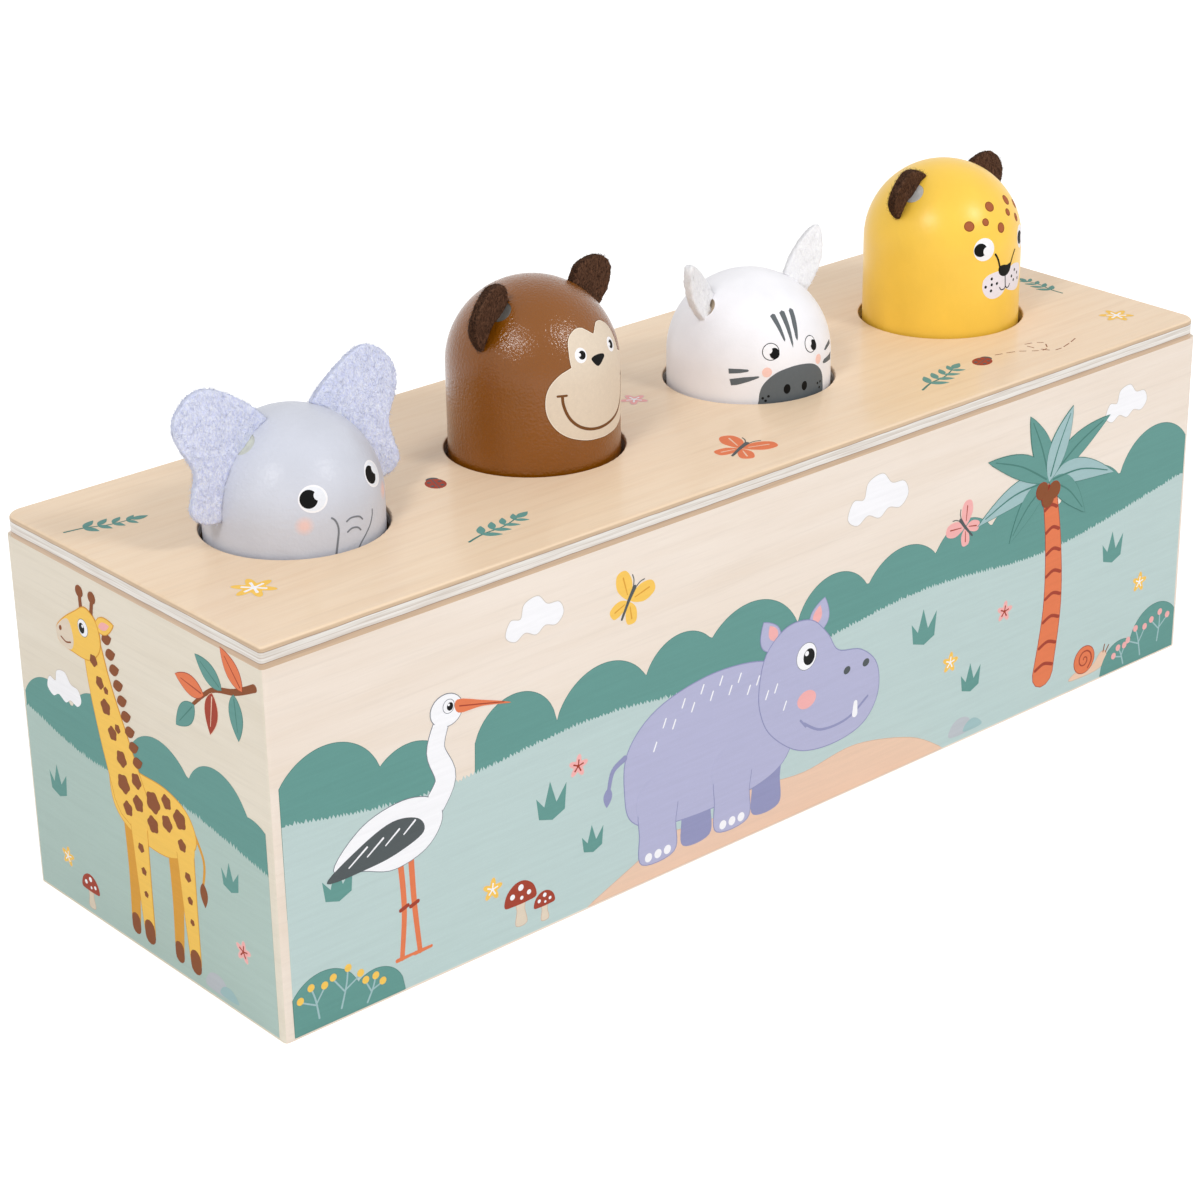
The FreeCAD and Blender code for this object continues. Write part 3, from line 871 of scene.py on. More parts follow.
def end_wall_art(flip):
    """Artwork of a short wall, begun with its hills and its grass."""
    edge = half_width - print_margin
    hills = mound([(-36, 44, 13), (-16, 48, 12), (8, 44, 14), (30, 47, 12), (42, 42, 10)], 26)
    hills = [(-edge, 26)] + [point for point in hills if abs(point[0]) <= edge] + [(edge, 26)]
    art = Art().at(0, 0, flip=flip)
    art.add("teal", 0, hills, "deep_teal", 0.0)
    # the end walls' grass takes the darker sage, which is painted shade of the end walls
    art.add("end_sage", 2, ragged([(-edge, 47), (-20, 42), (12, 45), (edge, 40)], ground, 9))
    return art


def left_end_art():
    art = end_wall_art(False)
    draw_giraffe(art.at(2, 4, 0.97, flip=True, layer=4))
    draw_branch(art.at(half_width - print_margin - 0.6, 84, turn=-14, flip=True, layer=2))
    draw_cloud(art.at(-30, 56, 0.62))
    scatter(art, ((-36, 28, 0.9), (33, 31, 0.8)), ((36, 17, 2.8, "pink"), (-35, 12, 2.6, "yellow")))
    draw_stones(art.at(26, 2, 0.9, layer=4))
    draw_mushroom(art.at(-26, 2.2, 0.7, layer=4))
    return art


def right_end_art():
    art = end_wall_art(True)
    draw_hippo(art.at(1.5, 5, 0.94, flip=True, layer=4), "stone", "slate")
    draw_branch(art.at(print_margin - half_width + 0.6, 82, turn=-10, layer=2))
    draw_cloud(art.at(26, 72, 0.7))
    scatter(art, ((34, 30, 0.9),), ((-36, 30, 2.7, "yellow"),))
    draw_mushroom(art.at(37, 3, 0.8, layer=4))
    return art


def top_art():
    art = Art()
    draw_spray(art.at(-146, 30, 0.8, -20))
    draw_flower(art.at(-133, -24), 5.2, "yellow", "white", 6)
    draw_spray(art.at(-84, -36, 0.86, 6))
    draw_flower(art.at(-70, 36), 4.6, "yellow", "white", 6, 30)
    draw_ladybird(art.at(-68, -4, 0.8, 70))
    draw_butterfly(art.at(-2, -36, 0.9, 24), "orange", "peach")
    draw_spray(art.at(-12, 40, 0.9, -12), "mist")
    draw_flower(art.at(2, 6), 3.6, "pink", "white")
    draw_spray(art.at(58, -38, 0.9, 12))
    draw_ladybird(art.at(84, -34, 0.8, 20))
    draw_trail(art.at(0, 0), [(90, -33), (96, -35), (102, -39), (106, -35), (101, -33), (104, -41), (116, -38)])
    draw_flower(art.at(70, 34), 4.8, "yellow", "white", 6)
    draw_spray(art.at(140, -12, 0.7, 80))
    draw_flower(art.at(136, -34), 4.6, "yellow", "white", 6, 15)
    draw_butterfly(art.at(132, 32, 0.8, 200), "orange", "peach")
    return art


def on_front(x, y, lift):
    return Vector((x, -half_width - lift, y))


def on_back(x, y, lift):
    return Vector((-x, half_width + lift, y))


def on_left_end(x, y, lift):
    return Vector((-half_length - lift, -x, y))


def on_right_end(x, y, lift):
    return Vector((half_length + lift, x, y))


def on_top(x, y, lift):
    return Vector((x, y, panel_top + lift))


def cut_grid(sheet, outline, cell, snapped):
    """Cut a flat sheet along lines one cell apart, so that it can bend."""
    bmesh.ops.triangulate(sheet, faces=sheet.faces[:])
    for axis in (0, 1):
        low = min(point[axis] for point in outline)
        high = max(point[axis] for point in outline)
        direction = Vector((1 - axis, axis, 0))
        cut = (math.floor(low / cell) * cell if snapped else low) + cell
        while cut < high:
            parts = sheet.verts[:] + sheet.edges[:] + sheet.faces[:]
            bmesh.ops.bisect_plane(sheet, geom=parts, plane_co=direction * cut, plane_no=direction)
            cut += cell


def add_slab(mesh, outline, bottom, top, place, cell=None, snapped=True, ink_index=0):
    """One closed thin solid between two heights over a surface, cut into cells where it bends."""
    sheet = bmesh.new()
    corners = []
    for point in outline:
        if not corners or math.dist(point, corners[-1]) > 0.01:
            corners.append(point)
    if math.dist(corners[0], corners[-1]) < 0.01:
        corners.pop()
    sheet.faces.new([sheet.verts.new((x, y, bottom)) for x, y in corners])
    if cell:
        cut_grid(sheet, corners, cell, snapped)
    made = bmesh.ops.extrude_face_region(sheet, geom=sheet.faces[:], use_keep_orig=True)
    for item in made["geom"]:
        if isinstance(item, bmesh.types.BMVert):
            item.co.z = top
    for vert in sheet.verts:
        vert.co = place(vert.co.x, vert.co.y, vert.co.z) * MM
    bmesh.ops.recalc_face_normals(sheet, faces=sheet.faces[:])
    copies = {vert: mesh.verts.new(vert.co) for vert in sheet.verts}
    for face in sheet.faces:
        made_face = mesh.faces.new([copies[vert] for vert in face.verts])
        made_face.material_index = ink_index
        made_face.smooth = bool(cell)
    sheet.free()


def add_object(name, data):
    obj = bpy.data.objects.new(name, data)
    bpy.context.scene.collection.objects.link(obj)
    return obj


def mesh_object(name, mesh):
    """Object made of a finished mesh."""
    data = bpy.data.meshes.new(name)
    mesh.to_mesh(data)
    mesh.free()
    return add_object(name, data)


def stacked(shapes):
    """Shapes in drawing order, each one level above all that it may cover."""
    placed = []
    for ink, layer, outline in sorted(shapes, key=lambda shape: shape[1]):
        left = min(x for x, y in outline)
        right = max(x for x, y in outline)
        low = min(y for x, y in outline)
        high = max(y for x, y in outline)
        level = 0
        for ink_below, level_below, outline_below, box in placed:
            if left < box[1] and right > box[0] and low < box[3] and high > box[2]:
                level = max(level, level_below + 1)
        placed.append((ink, level, outline, (left, right, low, high)))
    return [(ink, level, outline) for ink, level, outline, box in placed]


def lay_print(name, shapes, place, grain, body, cell=None):
    """All the artwork of one face as one object that rides a body."""
    mesh = bmesh.new()
    used = sorted({ink for ink, layer, outline in shapes})
    step = head_layer_lift if cell else layer_lift
    for ink, level, outline in stacked(shapes):
        lift = first_lift + level * step
        add_slab(mesh, outline, -print_depth, lift, place, cell, ink_index=used.index(ink))
    obj = mesh_object(name, mesh)
    if cell:
        obj.data.set_sharp_from_angle(angle=math.radians(40))
    for ink in used:
        obj.data.materials.append(ink_material(ink, grain))
    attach(obj, body)


def print_case():
    walls = (("front", front_art, on_front), ("back", back_art, on_back),
             ("left_end", left_end_art, on_left_end), ("right_end", right_end_art, on_right_end))
    for name, draw, place in walls:
        lay_print(name + "_print", draw().shapes, place, "wall", "case")
    lay_print("top_print", top_art().shapes, on_top, "top", "case")


# Faces, drawn by azimuth in degrees and by distance up from the dome's base in millimetres


def find_dome_base(animal):
    """Middle of the head at the height where its dome starts, in millimetres."""
    low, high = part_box(animal + "_head")
    return Vector(((low.x + high.x) / 2 / MM, 0, high.z / MM - peg_radius))


dome_base = {animal: find_dome_base(animal) for animal in animals}


def heading(azimuth, elevation):
    """Unit vector toward a direction in degrees, the toy's front at azimuth 0."""
    azimuth = math.radians(azimuth)
    elevation = math.radians(elevation)
    flat = math.cos(elevation)
    return Vector((flat * math.sin(azimuth), -flat * math.cos(azimuth), math.sin(elevation)))


def head_point(animal, azimuth, rise, lift):
    """Point by azimuth and by distance up from the dome's base, some way off the surface."""
    angle = math.radians(azimuth)
    radius = peg_radius + lift
    height = rise
    if rise > 0:
        climb = rise / peg_radius
        height = radius * math.sin(climb)
        radius = radius * math.cos(climb)
    return dome_base[animal] + Vector((radius * math.sin(angle), -radius * math.cos(angle), height))


def around(degrees):
    """Arc length on the collar of an angle."""
    return math.radians(degrees) * peg_radius


class Face:
    """Artwork on a head. Points are given as an azimuth and a rise."""

    def __init__(self, animal):
        self.animal = animal
        self.shapes = []

    def add(self, ink, layer, points):
        self.shapes.append((ink, layer, [(around(azimuth), rise) for azimuth, rise in points]))

    def shape(self, ink, layer, points):
        self.add(ink, layer, smooth(points, True, 5))

    def line(self, ink, layer, points, width, end_width=None):
        flat = [(around(azimuth), rise) for azimuth, rise in points]
        self.shapes.append((ink, layer, ribbon(flat, width, end_width, 5)))

    def disc(self, ink, layer, azimuth, rise, reach_x, reach_y=None, turn=0.0):
        """Ellipse that keeps its shape on the dome, where meridians draw together."""
        stretch = 1 / math.cos(max(rise, 0) / peg_radius)
        outline = ellipse(0, 0, reach_x, reach_y, turn)
        middle = around(azimuth)
        self.shapes.append((ink, layer, [(middle + x * stretch, rise + y) for x, y in outline]))

    def place(self, x, y, lift):
        return head_point(self.animal, math.degrees(x / peg_radius), y, lift)

    def lay(self):
        name = self.animal
        lay_print(name + "_face_print", self.shapes, self.place, "head", name, head_cell)


def mirrored(points, middle):
    """Points followed by their mirror image about an azimuth, going back to the start."""
    return points + [(2 * middle - azimuth, rise) for azimuth, rise in reversed(points)]


def draw_elephant_face():
    face = Face("elephant")
    for azimuth, rise in ((-22.0, 6.2), (31.2, 7.0)):
        face.disc("white", 0, azimuth, rise, 3.3, 3.05)
        face.disc("eye_white", 1, azimuth, rise, 2.86, 2.64)
        face.disc("black", 2, azimuth - 2.8, rise + 0.05, 2.02, 2.06)
        face.disc("eye_white", 3, azimuth + 4.1, rise + 0.6, 1.2, 1.15)
    left = [(-11.4, 1.3), (-9.3, 0.6), (-7.6, -0.8), (-7.3, -2.3), (-8.2, -4.4), (-9.5, -7.0), (-10.6, -9.4)]
    face.line("grey_line", 0, left, 0.42, 0.52)
    right = [(21.8, -0.2), (21.4, -1.6), (18.8, -3.4), (14.4, -5.0), (9.9, -6.4), (7.2, -7.6), (5.2, -9.2)]
    face.line("grey_line", 0, right, 0.36, 0.44)
    face.line("grey_line", 0, [(-1.2, -0.4), (1.8, 0.1), (6.0, 0.0), (9.3, -0.4), (11.5, -1.2)], 0.38)
    face.line("grey_line", 0, [(-0.9, -2.9), (1.9, -2.4), (5.0, -2.4), (7.7, -2.8), (9.5, -3.5)], 0.38)
    face.lay()


def draw_monkey_face():
    face = Face("monkey")
    middle = 12.4
    lean = 0.012
    lobe = [(0, 10.5), (-2.0, 11.0), (-5.0, 11.8), (-9.5, 12.7), (-14.5, 12.75), (-18.3, 12.3), (-22.8, 11.2),
            (-25.2, 9.7), (-26.1, 7.4), (-26.2, 5.4), (-25.8, 4.1)]
    muzzle = [(-25.8, 4.1), (-28.6, 3.7), (-34, 2.8), (-39.3, 1.2), (-42.8, -0.8), (-44.3, -3.2), (-44, -5.9),
              (-41.5, -8.4), (-36.7, -10.7), (-30, -12.4), (-22, -13.5), (-13, -14.2), (0, -14.5)]
    half = smooth(lobe, False, 4)[:-1] + smooth(muzzle, False, 4)
    flat = []
    for offset, rise in mirrored(half, 0)[:-1]:
        flat.append((around(middle + offset), rise - lean * offset))
    face.shapes.append(("warm_brown", 0, grow(flat, 0.16)))
    face.shapes.append(("rim", 1, flat))
    face.shapes.append(("cream", 2, grow(flat, -0.17)))
    for azimuth, rise, look in ((-4.8, 6.75, 1.0), (28.0, 6.35, 0.3)):
        face.disc("white", 3, azimuth, rise, 1.62, 1.78)
        face.disc("black", 4, azimuth + look, rise, 0.98, 1.04)
        face.disc("white", 5, azimuth + look - 2.2, rise + 0.2, 0.42, 0.42)
    nose = [(3.3, 5.2), (4.6, 5.6), (7.6, 5.8), (11.9, 5.75), (15.6, 5.4), (16.2, 4.8), (13.8, 4.1), (9.9, 3.25),
            (7.2, 3.35), (4.4, 4.4)]
    face.shape("black", 3, nose)
    mouth = [(-20.7, -2.0), (-20.3, -3.8), (-18.2, -6.1), (-14.9, -8.1), (-9.5, -9.9), (-2.7, -11.1), (4.9, -11.7),
             (13.4, -11.8), (23.4, -11.4), (32.0, -10.5), (38.6, -9.0), (43.4, -6.8), (45.8, -4.6), (46.4, -2.8)]
    face.line("warm_brown", 3, mouth, 0.72)
    face.line("warm_brown", 4, [(-23.9, -1.8), (-17.8, -1.9)], 0.55)
    face.line("warm_brown", 4, [(43.2, -2.8), (49.4, -2.9)], 0.55)
    face.lay()


def draw_zebra_face():
    face = Face("zebra")
    muzzle = [(-36.8, -8.2), (-36.7, -6.1), (-36.2, -4.4), (-34.4, -2.6), (-30.3, -0.9), (-23.9, 0.6), (-16.1, 1.35),
              (-7.6, 1.6), (1.9, 1.2), (8.8, 0.3), (14.6, -1.3), (18.2, -3.2), (19.2, -5.4), (18.9, -8),
              (12, -12), (-8, -13.6), (-30, -12)]
    face.shape("zebra_grey", 0, muzzle)
    face.disc("black", 1, -16.4, -4.0, 0.94, 1.25)
    face.disc("black", 1, -1.9, -4.2, 0.88, 1.2)
    pores = ((-34.0, -5.7), (-30.0, -5.3), (-32.0, -6.4), (12.0, -4.9), (15.4, -4.8), (14.4, -6.2))
    for azimuth, rise in pores:
        face.disc("black", 1, azimuth, rise, 0.33)
    for azimuth, rise, wide, look in ((-27.8, 5.9, 2.2, 2.6), (6.3, 5.75, 2.02, 2.9)):
        face.disc("ring", 0, azimuth, rise, wide, 2.16)
        face.disc("white", 1, azimuth, rise, wide - 0.2, 1.96)
        face.disc("black", 2, azimuth + look, rise - 0.5, wide - 0.92, 1.38)
        face.disc("white", 3, azimuth - 1.2, rise + 0.35, 0.78, 0.8)
    face.disc("blush", 0, -31.1, 0.9, 1.24, 1.24)
    face.disc("blush", 0, 12.9, 1.3, 1.18, 1.24)
    stripes = [
        [(-24.2, 14.7), (-21.5, 15.2), (-19.2, 15.0), (-16.9, 11.7), (-15.5, 8.4), (-16.2, 7.9), (-17.2, 8.5),
         (-20.0, 11.4)],
        [(-14.4, 15.2), (-11.4, 15.7), (-8.8, 15.3), (-9.0, 11.6), (-9.6, 7.1), (-10.3, 6.1), (-11.2, 7.3),
         (-12.8, 11.6)],
        [(-3.6, 15.2), (-1.0, 15.8), (1.4, 15.2), (-1.7, 11.3), (-4.5, 8.1), (-5.5, 7.5), (-6.4, 8.3), (-5.9, 11.5)],
    ]
    whiskers = [
        [(-57.6, 1.85), (-57.3, 0.6), (-49.9, 0.85), (-44.4, 1.2), (-43.4, 1.5), (-44.4, 1.8), (-49.9, 1.9)],
        [(-56.8, -0.8), (-55.7, -2.4), (-51.7, -2.2), (-43.7, -1.3), (-37.2, -0.45), (-36.2, -0.1), (-37.5, 0.05),
         (-47.2, -0.2)],
        [(22.1, 2.6), (26.0, 3.3), (31.0, 3.6), (37.0, 3.7), (37.0, 2.6), (29.5, 2.5), (24.5, 2.3)],
        [(19.0, -0.2), (21.3, 0.35), (29.4, 0.3), (37.0, 0.4), (37.0, -1.5), (29.5, -1.1), (23.8, -0.9),
         (20.4, -0.65)],
    ]
    for points in stripes + whiskers:
        face.add("zebra_grey", 0, points)
    face.lay()


def draw_leopard_face():
    face = Face("leopard")
    for azimuth, rise, look in ((-15.7, 2.0, -3.1), (31.4, 1.7, -2.9)):
        face.disc("white", 0, azimuth, rise, 3.08, 3.0)
        face.disc("black", 1, azimuth + look, rise, 1.86, 1.74)
        face.disc("white", 2, azimuth + 2.5, rise - 0.55, 1.22, 1.2)
    muzzle = [(-1.9, -4.6), (-6.9, -4.7), (-11.9, -5.1), (-15.7, -6.2), (-16.5, -7.7), (-15.8, -9.2), (-13.2, -10.6),
              (-9.1, -11.5), (-3.7, -11.7), (2.2, -11.1), (6.2, -9.9), (9.4, -10.5), (13.8, -11.1), (20.0, -11.6),
              (25.6, -11.4), (29.4, -10.4), (31.4, -8.6), (31.4, -6.8), (28.6, -5.4), (23.6, -4.6), (17.6, -4.2),
              (13.1, -4.4), (6, -4.8)]
    face.shape("muzzle_white", 0, muzzle)
    nose = [(-0.9, -3.35), (3.4, -3.3), (7.6, -3.6), (12.0, -3.4), (12.1, -4.5), (10.2, -5.75), (6.0, -6.4),
            (2.0, -6.2), (-1.2, -5.4), (-2.2, -4.2)]
    face.shape("black", 1, nose)
    face.line("black", 1, [(-5.9, 0.2), (-4.2, -0.6), (-2.3, -2.0), (-0.7, -3.9)], 0.52, 0.5)
    face.line("black", 1, [(18.0, -0.5), (15.1, -1.7), (13.0, -3.0), (11.4, -4.2)], 0.42, 0.46)
    face.line("black", 2, [(5.3, -6.2), (6.0, -9.4)], 0.3)
    face.line("black", 1, [(6.1, -9.3), (4.5, -9.85), (1.5, -9.85), (-0.4, -9.1)], 0.3, 0.3)
    face.line("black", 1, [(6.1, -9.3), (8.0, -9.85), (10.2, -9.7), (11.7, -9.1)], 0.3, 0.3)
    dots = ((-8.5, -6.2), (-13.7, -8.1), (-8.3, -7.8), (-3.3, -7.8), (-8.8, -9.4), (18.7, -6.0), (23.5, -7.2),
            (14.1, -7.3), (17.4, -8.6), (25.2, -8.9))
    for azimuth, rise in dots:
        face.disc("black", 1, azimuth, rise, 0.38, 0.4)
    spots = ((-26.6, 8.4, 1.4, 1.34, 0), (-11.9, 8.9, 1.0, 1.02, 0), (-3.1, 12.6, 1.42, 1.36, 20),
             (2.3, 6.6, 1.22, 1.36, -20), (24.0, 12.5, 1.3, 1.4, 0), (16.8, 9.6, 0.98, 1.0, 0),
             (28.6, 7.1, 1.0, 1.15, 0), (40.0, 9.8, 1.3, 1.3, 0))
    for azimuth, rise, reach_x, reach_y, turn in spots:
        face.disc("spot_rim", 0, azimuth, rise, reach_x, reach_y, turn)
        face.disc("tan_spot", 1, azimuth, rise, reach_x - 0.22, reach_y - 0.22, turn)
    face.lay()


def print_heads():
    for draw in (draw_elephant_face, draw_monkey_face, draw_zebra_face, draw_leopard_face):
        draw()


# Felt ears. Each free edge runs from its top root to its bottom root, as an angle above
# the dome's base and a reach outside the dome
ear_edge = {
    "elephant": [(71, 0), (61.5, 8.8), (52.7, 16.4), (42.3, 18), (34.1, 15.9), (24.5, 8.4), (14.1, 7.3), (5.1, 7.4),
                 (-0.7, 4.7), (-3, 0)],
    "monkey": [(61, 0), (61.7, 4), (55, 7.6), (46.9, 10.3), (37.6, 11.1), (30.7, 8.5), (25.8, 3.7), (21.6, 0)],
    "zebra": [(61, 0), (61.4, 4.9), (58.7, 10.6), (54.7, 14.5), (50.5, 12.8), (45.5, 8.5), (42.1, 4.3), (39.8, 0)],
    "leopard": [(62.5, 0), (58.1, 2.5), (48.2, 7), (42.8, 8.3), (37.6, 9.4), (31.7, 9.4), (27.8, 6.9), (22.3, 0)],
}

# How each hand-glued ear stands, in degrees: the direction of its root, how far its free
# edge curls forward, its tilt, and its turn about the tab in the hole
ear_stand = {
    "elephant_left": (-86.9, -5.2, 1.4, 0.4),
    "elephant_right": (93.3, -5.1, -1.5, -12.7),
    "monkey_left": (-75.7, 8.0, 0.2, -4.9),
    "monkey_right": (90.2, -2.1, -5.9, 11.3),
    "zebra_left": (-89.3, 7.4, -5.4, 16.1),
    "zebra_right": (69.6, -8.0, 1.4, -6.0),
    "leopard_left": (-85.5, 7.9, 3.0, -2.8),
    "leopard_right": (98.3, -4.9, -6.4, -7.0),
}


def ear_outline(animal):
    """Outline in the ear's own plane, from the top root round to the tab."""
    points = []
    tucked = peg_radius - 0.15
    for angle, reach in smooth(ear_edge[animal], False, 6):
        points.append(polar(angle, peg_radius + max(reach, 0.0)))
    low = ear_edge[animal][-1][0]
    high = ear_edge[animal][0][0]
    hole = ear_hole_angle[animal]
    spread = math.degrees(tab_half_width / peg_radius)
    for angle in spaced(low + 2, hole - spread, 5):
        points.append(polar(angle, tucked))
    across = Vector((-math.sin(math.radians(hole)), math.cos(math.radians(hole)))) * tab_half_width
    deep = Vector(polar(hole, peg_radius - tab_depth))
    points.append(tuple(deep - across))
    points.append(tuple(deep + across))
    for angle in spaced(hole + spread, high - 2, 4):
        points.append(polar(angle, tucked))
    return points


def ear_surface(animal, side):
    """Function from a point in the ear's flat plane to its place on the head."""
    root, curl, tilt, turn = ear_stand[animal + "_" + side]
    widest = max(reach for angle, reach in ear_edge[animal])
    forward = 1 if side == "left" else -1
    hole = math.radians(ear_hole_angle[animal])
    about_tab = Matrix.Rotation(math.radians(turn), 3, Vector((math.cos(hole), 0, math.sin(hole))))
    about_peg = Matrix.Rotation(math.radians(root - 90), 3, "Z")
    base = dome_base[animal]

    def place(x, y):
        reach = max(0.0, math.hypot(x, y) - peg_radius)
        out, up = put([(x, y)], 0, 0, 1.0, tilt)[0]
        swing = math.radians(forward * curl * (reach / widest) ** 1.6)
        return base + about_peg @ (about_tab @ Vector((out * math.cos(swing), out * math.sin(swing), up)))

    return place


def make_ear(animal, side, materials, slot_name):
    """Die-cut felt ear, curled forward and matted on its surface."""
    surface = ear_surface(animal, side)

    def place(x, y, offset):
        small = 0.05
        along = surface(x + small, y) - surface(x - small, y)
        up = surface(x, y + small) - surface(x, y - small)
        return surface(x, y) + along.cross(up).normalized() * offset

    half = felt_thickness / 2
    mesh = bmesh.new()
    add_slab(mesh, ear_outline(animal), -half, half, place, felt_cell, snapped=False)
    obj = mesh_object(animal + "_" + side + "_ear_felt", mesh)
    remesh = obj.modifiers.new("even", "REMESH")
    remesh.mode = "VOXEL"
    remesh.voxel_size = felt_voxel * MM
    remesh.use_smooth_shade = True
    soften = obj.modifiers.new("soften", "SMOOTH")
    soften.iterations = 3
    soften.factor = 0.5
    apply_modifiers(obj)
    matt_surface(obj.data)
    set_material(obj, *materials)
    root = math.radians(ear_stand[animal + "_" + side][0])
    across = Vector((math.cos(root), math.sin(root), 0))
    for face in obj.data.polygons:
        face.material_index = 1 if abs(face.normal.dot(across)) < edge_slope else 0
    add_fibres(obj, fibre_count[slot_name], animal + side)
    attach(obj, animal)
    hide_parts(animal + "_" + side + "_ear")


def apply_modifiers(obj):
    depsgraph = bpy.context.evaluated_depsgraph_get()
    data = bpy.data.meshes.new_from_object(obj.evaluated_get(depsgraph))
    obj.modifiers.clear()
    obj.data = data


def shade_smooth(data):
    data.polygons.foreach_set("use_smooth", [True] * len(data.polygons))


def matt_surface(data):
    """Push each point in or out a little, as pressed fibres do."""
    shifts = []
    for vertex in data.vertices:
        spot = vertex.co / MM
        dents = noise.noise(spot * 1.3) * 0.10
        nap = noise.noise(spot * 3.4) * 0.07
        shifts.append(vertex.normal * (dents + nap) * MM)
    for vertex, shift in zip(data.vertices, shifts):
        vertex.co += shift
    shade_smooth(data)


def add_fibres(obj, count, seed):
    """Short loose wool fibres that stand off the felt's faces and edges."""
    rng = random.Random(seed)
    mesh = bmesh.new()
    mesh.from_mesh(obj.data)
    faces = mesh.faces[:]
    roots = [rng.choice(faces) for step in range(count)]
    places = [(face.calc_center_median(), face.normal.copy(), face.material_index) for face in roots]
    for spot, normal, material_index in places:
        sideways = normal.cross(Vector((rng.gauss(0, 1), rng.gauss(0, 1), rng.gauss(0, 1)))).normalized()
        length = rng.uniform(0.5, 1.3) * MM
        rise = rng.uniform(0.15, 0.7)
        line = [spot - normal * 0.1 * MM]
        line.append(spot + (sideways * 0.5 + normal * rise * 0.5) * length)
        line.append(spot + (sideways + normal * rise * 0.55) * length)
        add_strand(mesh, line, normal.cross(sideways), normal, material_index)
    mesh.to_mesh(obj.data)
    mesh.free()


def add_strand(mesh, line, across, up, material_index):
    """One fibre: a thin three-sided rod along a line."""
    rows = []
    for index, spot in enumerate(line):
        radius = fibre_thickness / 2 * (1 - 0.3 * index) * MM
        row = []
        for step in range(3):
            angle = 2 * math.pi * step / 3
            row.append(mesh.verts.new(spot + (across * math.cos(angle) + up * math.sin(angle)) * radius))
        rows.append(row)
    made = [mesh.faces.new(rows[0][::-1]), mesh.faces.new(rows[-1])]
    for low, high in zip(rows, rows[1:]):
        for step in range(3):
            after = (step + 1) % 3
            made.append(mesh.faces.new((low[step], low[after], high[after], high[step])))
    for face in made:
        face.material_index = material_index
        face.smooth = True


def make_ears():
    felts = {
        "lavender_felt": (srgb(240, 244, 255), srgb(215, 221, 252), srgb(196, 203, 246)),
        "dark_felt": (srgb(116, 82, 62), srgb(46, 28, 19), srgb(16, 10, 7)),
        "white_felt": (srgb(255, 255, 255), srgb(249, 248, 252), srgb(242, 240, 246)),
    }
    chosen = {"elephant": "lavender_felt", "monkey": "dark_felt", "zebra": "white_felt", "leopard": "dark_felt"}
    materials = {}
    for name, (pale, deep, fleck) in felts.items():
        face = felt_material(name, pale, deep, fleck)
        dim = edge_dim[name]
        cut_edge = felt_material(name + "_cut_edge", shade(pale, dim), shade(deep, dim), shade(fleck, dim))
        materials[name] = (face, cut_edge)
    for animal in animals:
        for side in ("left", "right"):
            make_ear(animal, side, materials[chosen[animal]], chosen[animal])


def make_glue():
    """Glue that half fills each ear's hole around the felt tab."""
    for animal in animals:
        colour, recess = glue_look[animal]
        mesh = bmesh.new()
        for side in (-1, 1):
            outward = heading(face_turn[animal] + side * (90 - cad_forward[animal]), ear_hole_angle[animal])
            across = outward.cross(Vector((0, 0, 1))).normalized()
            upward = across.cross(outward)
            add_plug(mesh, dome_base[animal], outward, across, upward, recess)
        obj = mesh_object(animal + "_ear_glue", mesh)
        shade_smooth(obj.data)
        set_material(obj, glue_material(animal + "_glue", srgb(*colour)))
        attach(obj, animal)


def add_plug(mesh, base, outward, across, upward, recess):
    """Closed plug with an uneven, slightly hollow face just under the dome's surface."""
    rings = 7
    count = 28
    radius = ear_hole_radius + 0.02
    levels = []
    for ring in range(1, rings + 1):
        share = ring / rings
        row = []
        for step in range(count):
            angle = 2 * math.pi * step / count
            x = radius * share * math.cos(angle)
            y = radius * share * math.sin(angle)
            crown = math.sqrt(peg_radius ** 2 - x * x - y * y)
            dip = recess * (1 - 0.75 * share ** 3) + 0.12 * noise.noise(Vector((x, y, recess * 7)))
            spot = base + outward * (crown - max(dip, 0.08)) + across * x + upward * y
            row.append(mesh.verts.new(spot * MM))
        levels.append(row)
    floor = [mesh.verts.new(vert.co - outward * glue_depth * MM) for vert in levels[-1]]
    levels.append(floor)
    middle = mesh.verts.new((base + outward * (peg_radius - recess)) * MM)
    under = mesh.verts.new((base + outward * (peg_radius - recess - glue_depth - 0.2)) * MM)
    for step in range(count):
        after = (step + 1) % count
        mesh.faces.new((middle, levels[0][step], levels[0][after]))
        mesh.faces.new((under, floor[after], floor[step]))
        for inner, outer in zip(levels, levels[1:]):
            mesh.faces.new((inner[step], outer[step], outer[after], inner[after]))
    bmesh.ops.recalc_face_normals(mesh, faces=mesh.faces[:])


def dress_case():
    top = top_panel_material()
    long_wall = wall_material(0, srgb(240, 227, 215), srgb(229, 212, 195))
    # the end walls take darker copies of the long walls' ply colours: painted shade of the end walls
    end_wall = wall_material(1, srgb(231, 222, 206), srgb(219, 208, 189))
    ply = plain_wood_material("plain_ply", 0, srgb(222, 194, 158), srgb(204, 170, 130))
    blocks = plain_wood_material("block_wood", 2, srgb(226, 198, 160), srgb(206, 172, 130))
    dowel = plain_wood_material("dowel_wood", 2, srgb(228, 204, 170), srgb(210, 178, 138))
    axle = plain_wood_material("axle_wood", 1, srgb(228, 204, 170), srgb(210, 178, 138))
    screws = screw_material()
    finishes = {
        "top_panel": top,
        "front_wall": long_wall, "back_wall": long_wall,
        "left_end_wall": end_wall, "right_end_wall": end_wall,
        "bottom_panel": ply, "left_rocker_arm": ply, "right_rocker_arm": ply,
        "bottom_screws": screws,
        "left_axle_dowel": axle, "right_axle_dowel": axle,
    }
    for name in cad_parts:
        if name.endswith("_block"):
            finishes[name] = blocks
        if name.endswith(("_stem", "_cross_pin")):
            finishes[name] = dowel
    for name, material in finishes.items():
        set_material(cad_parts[name], material)


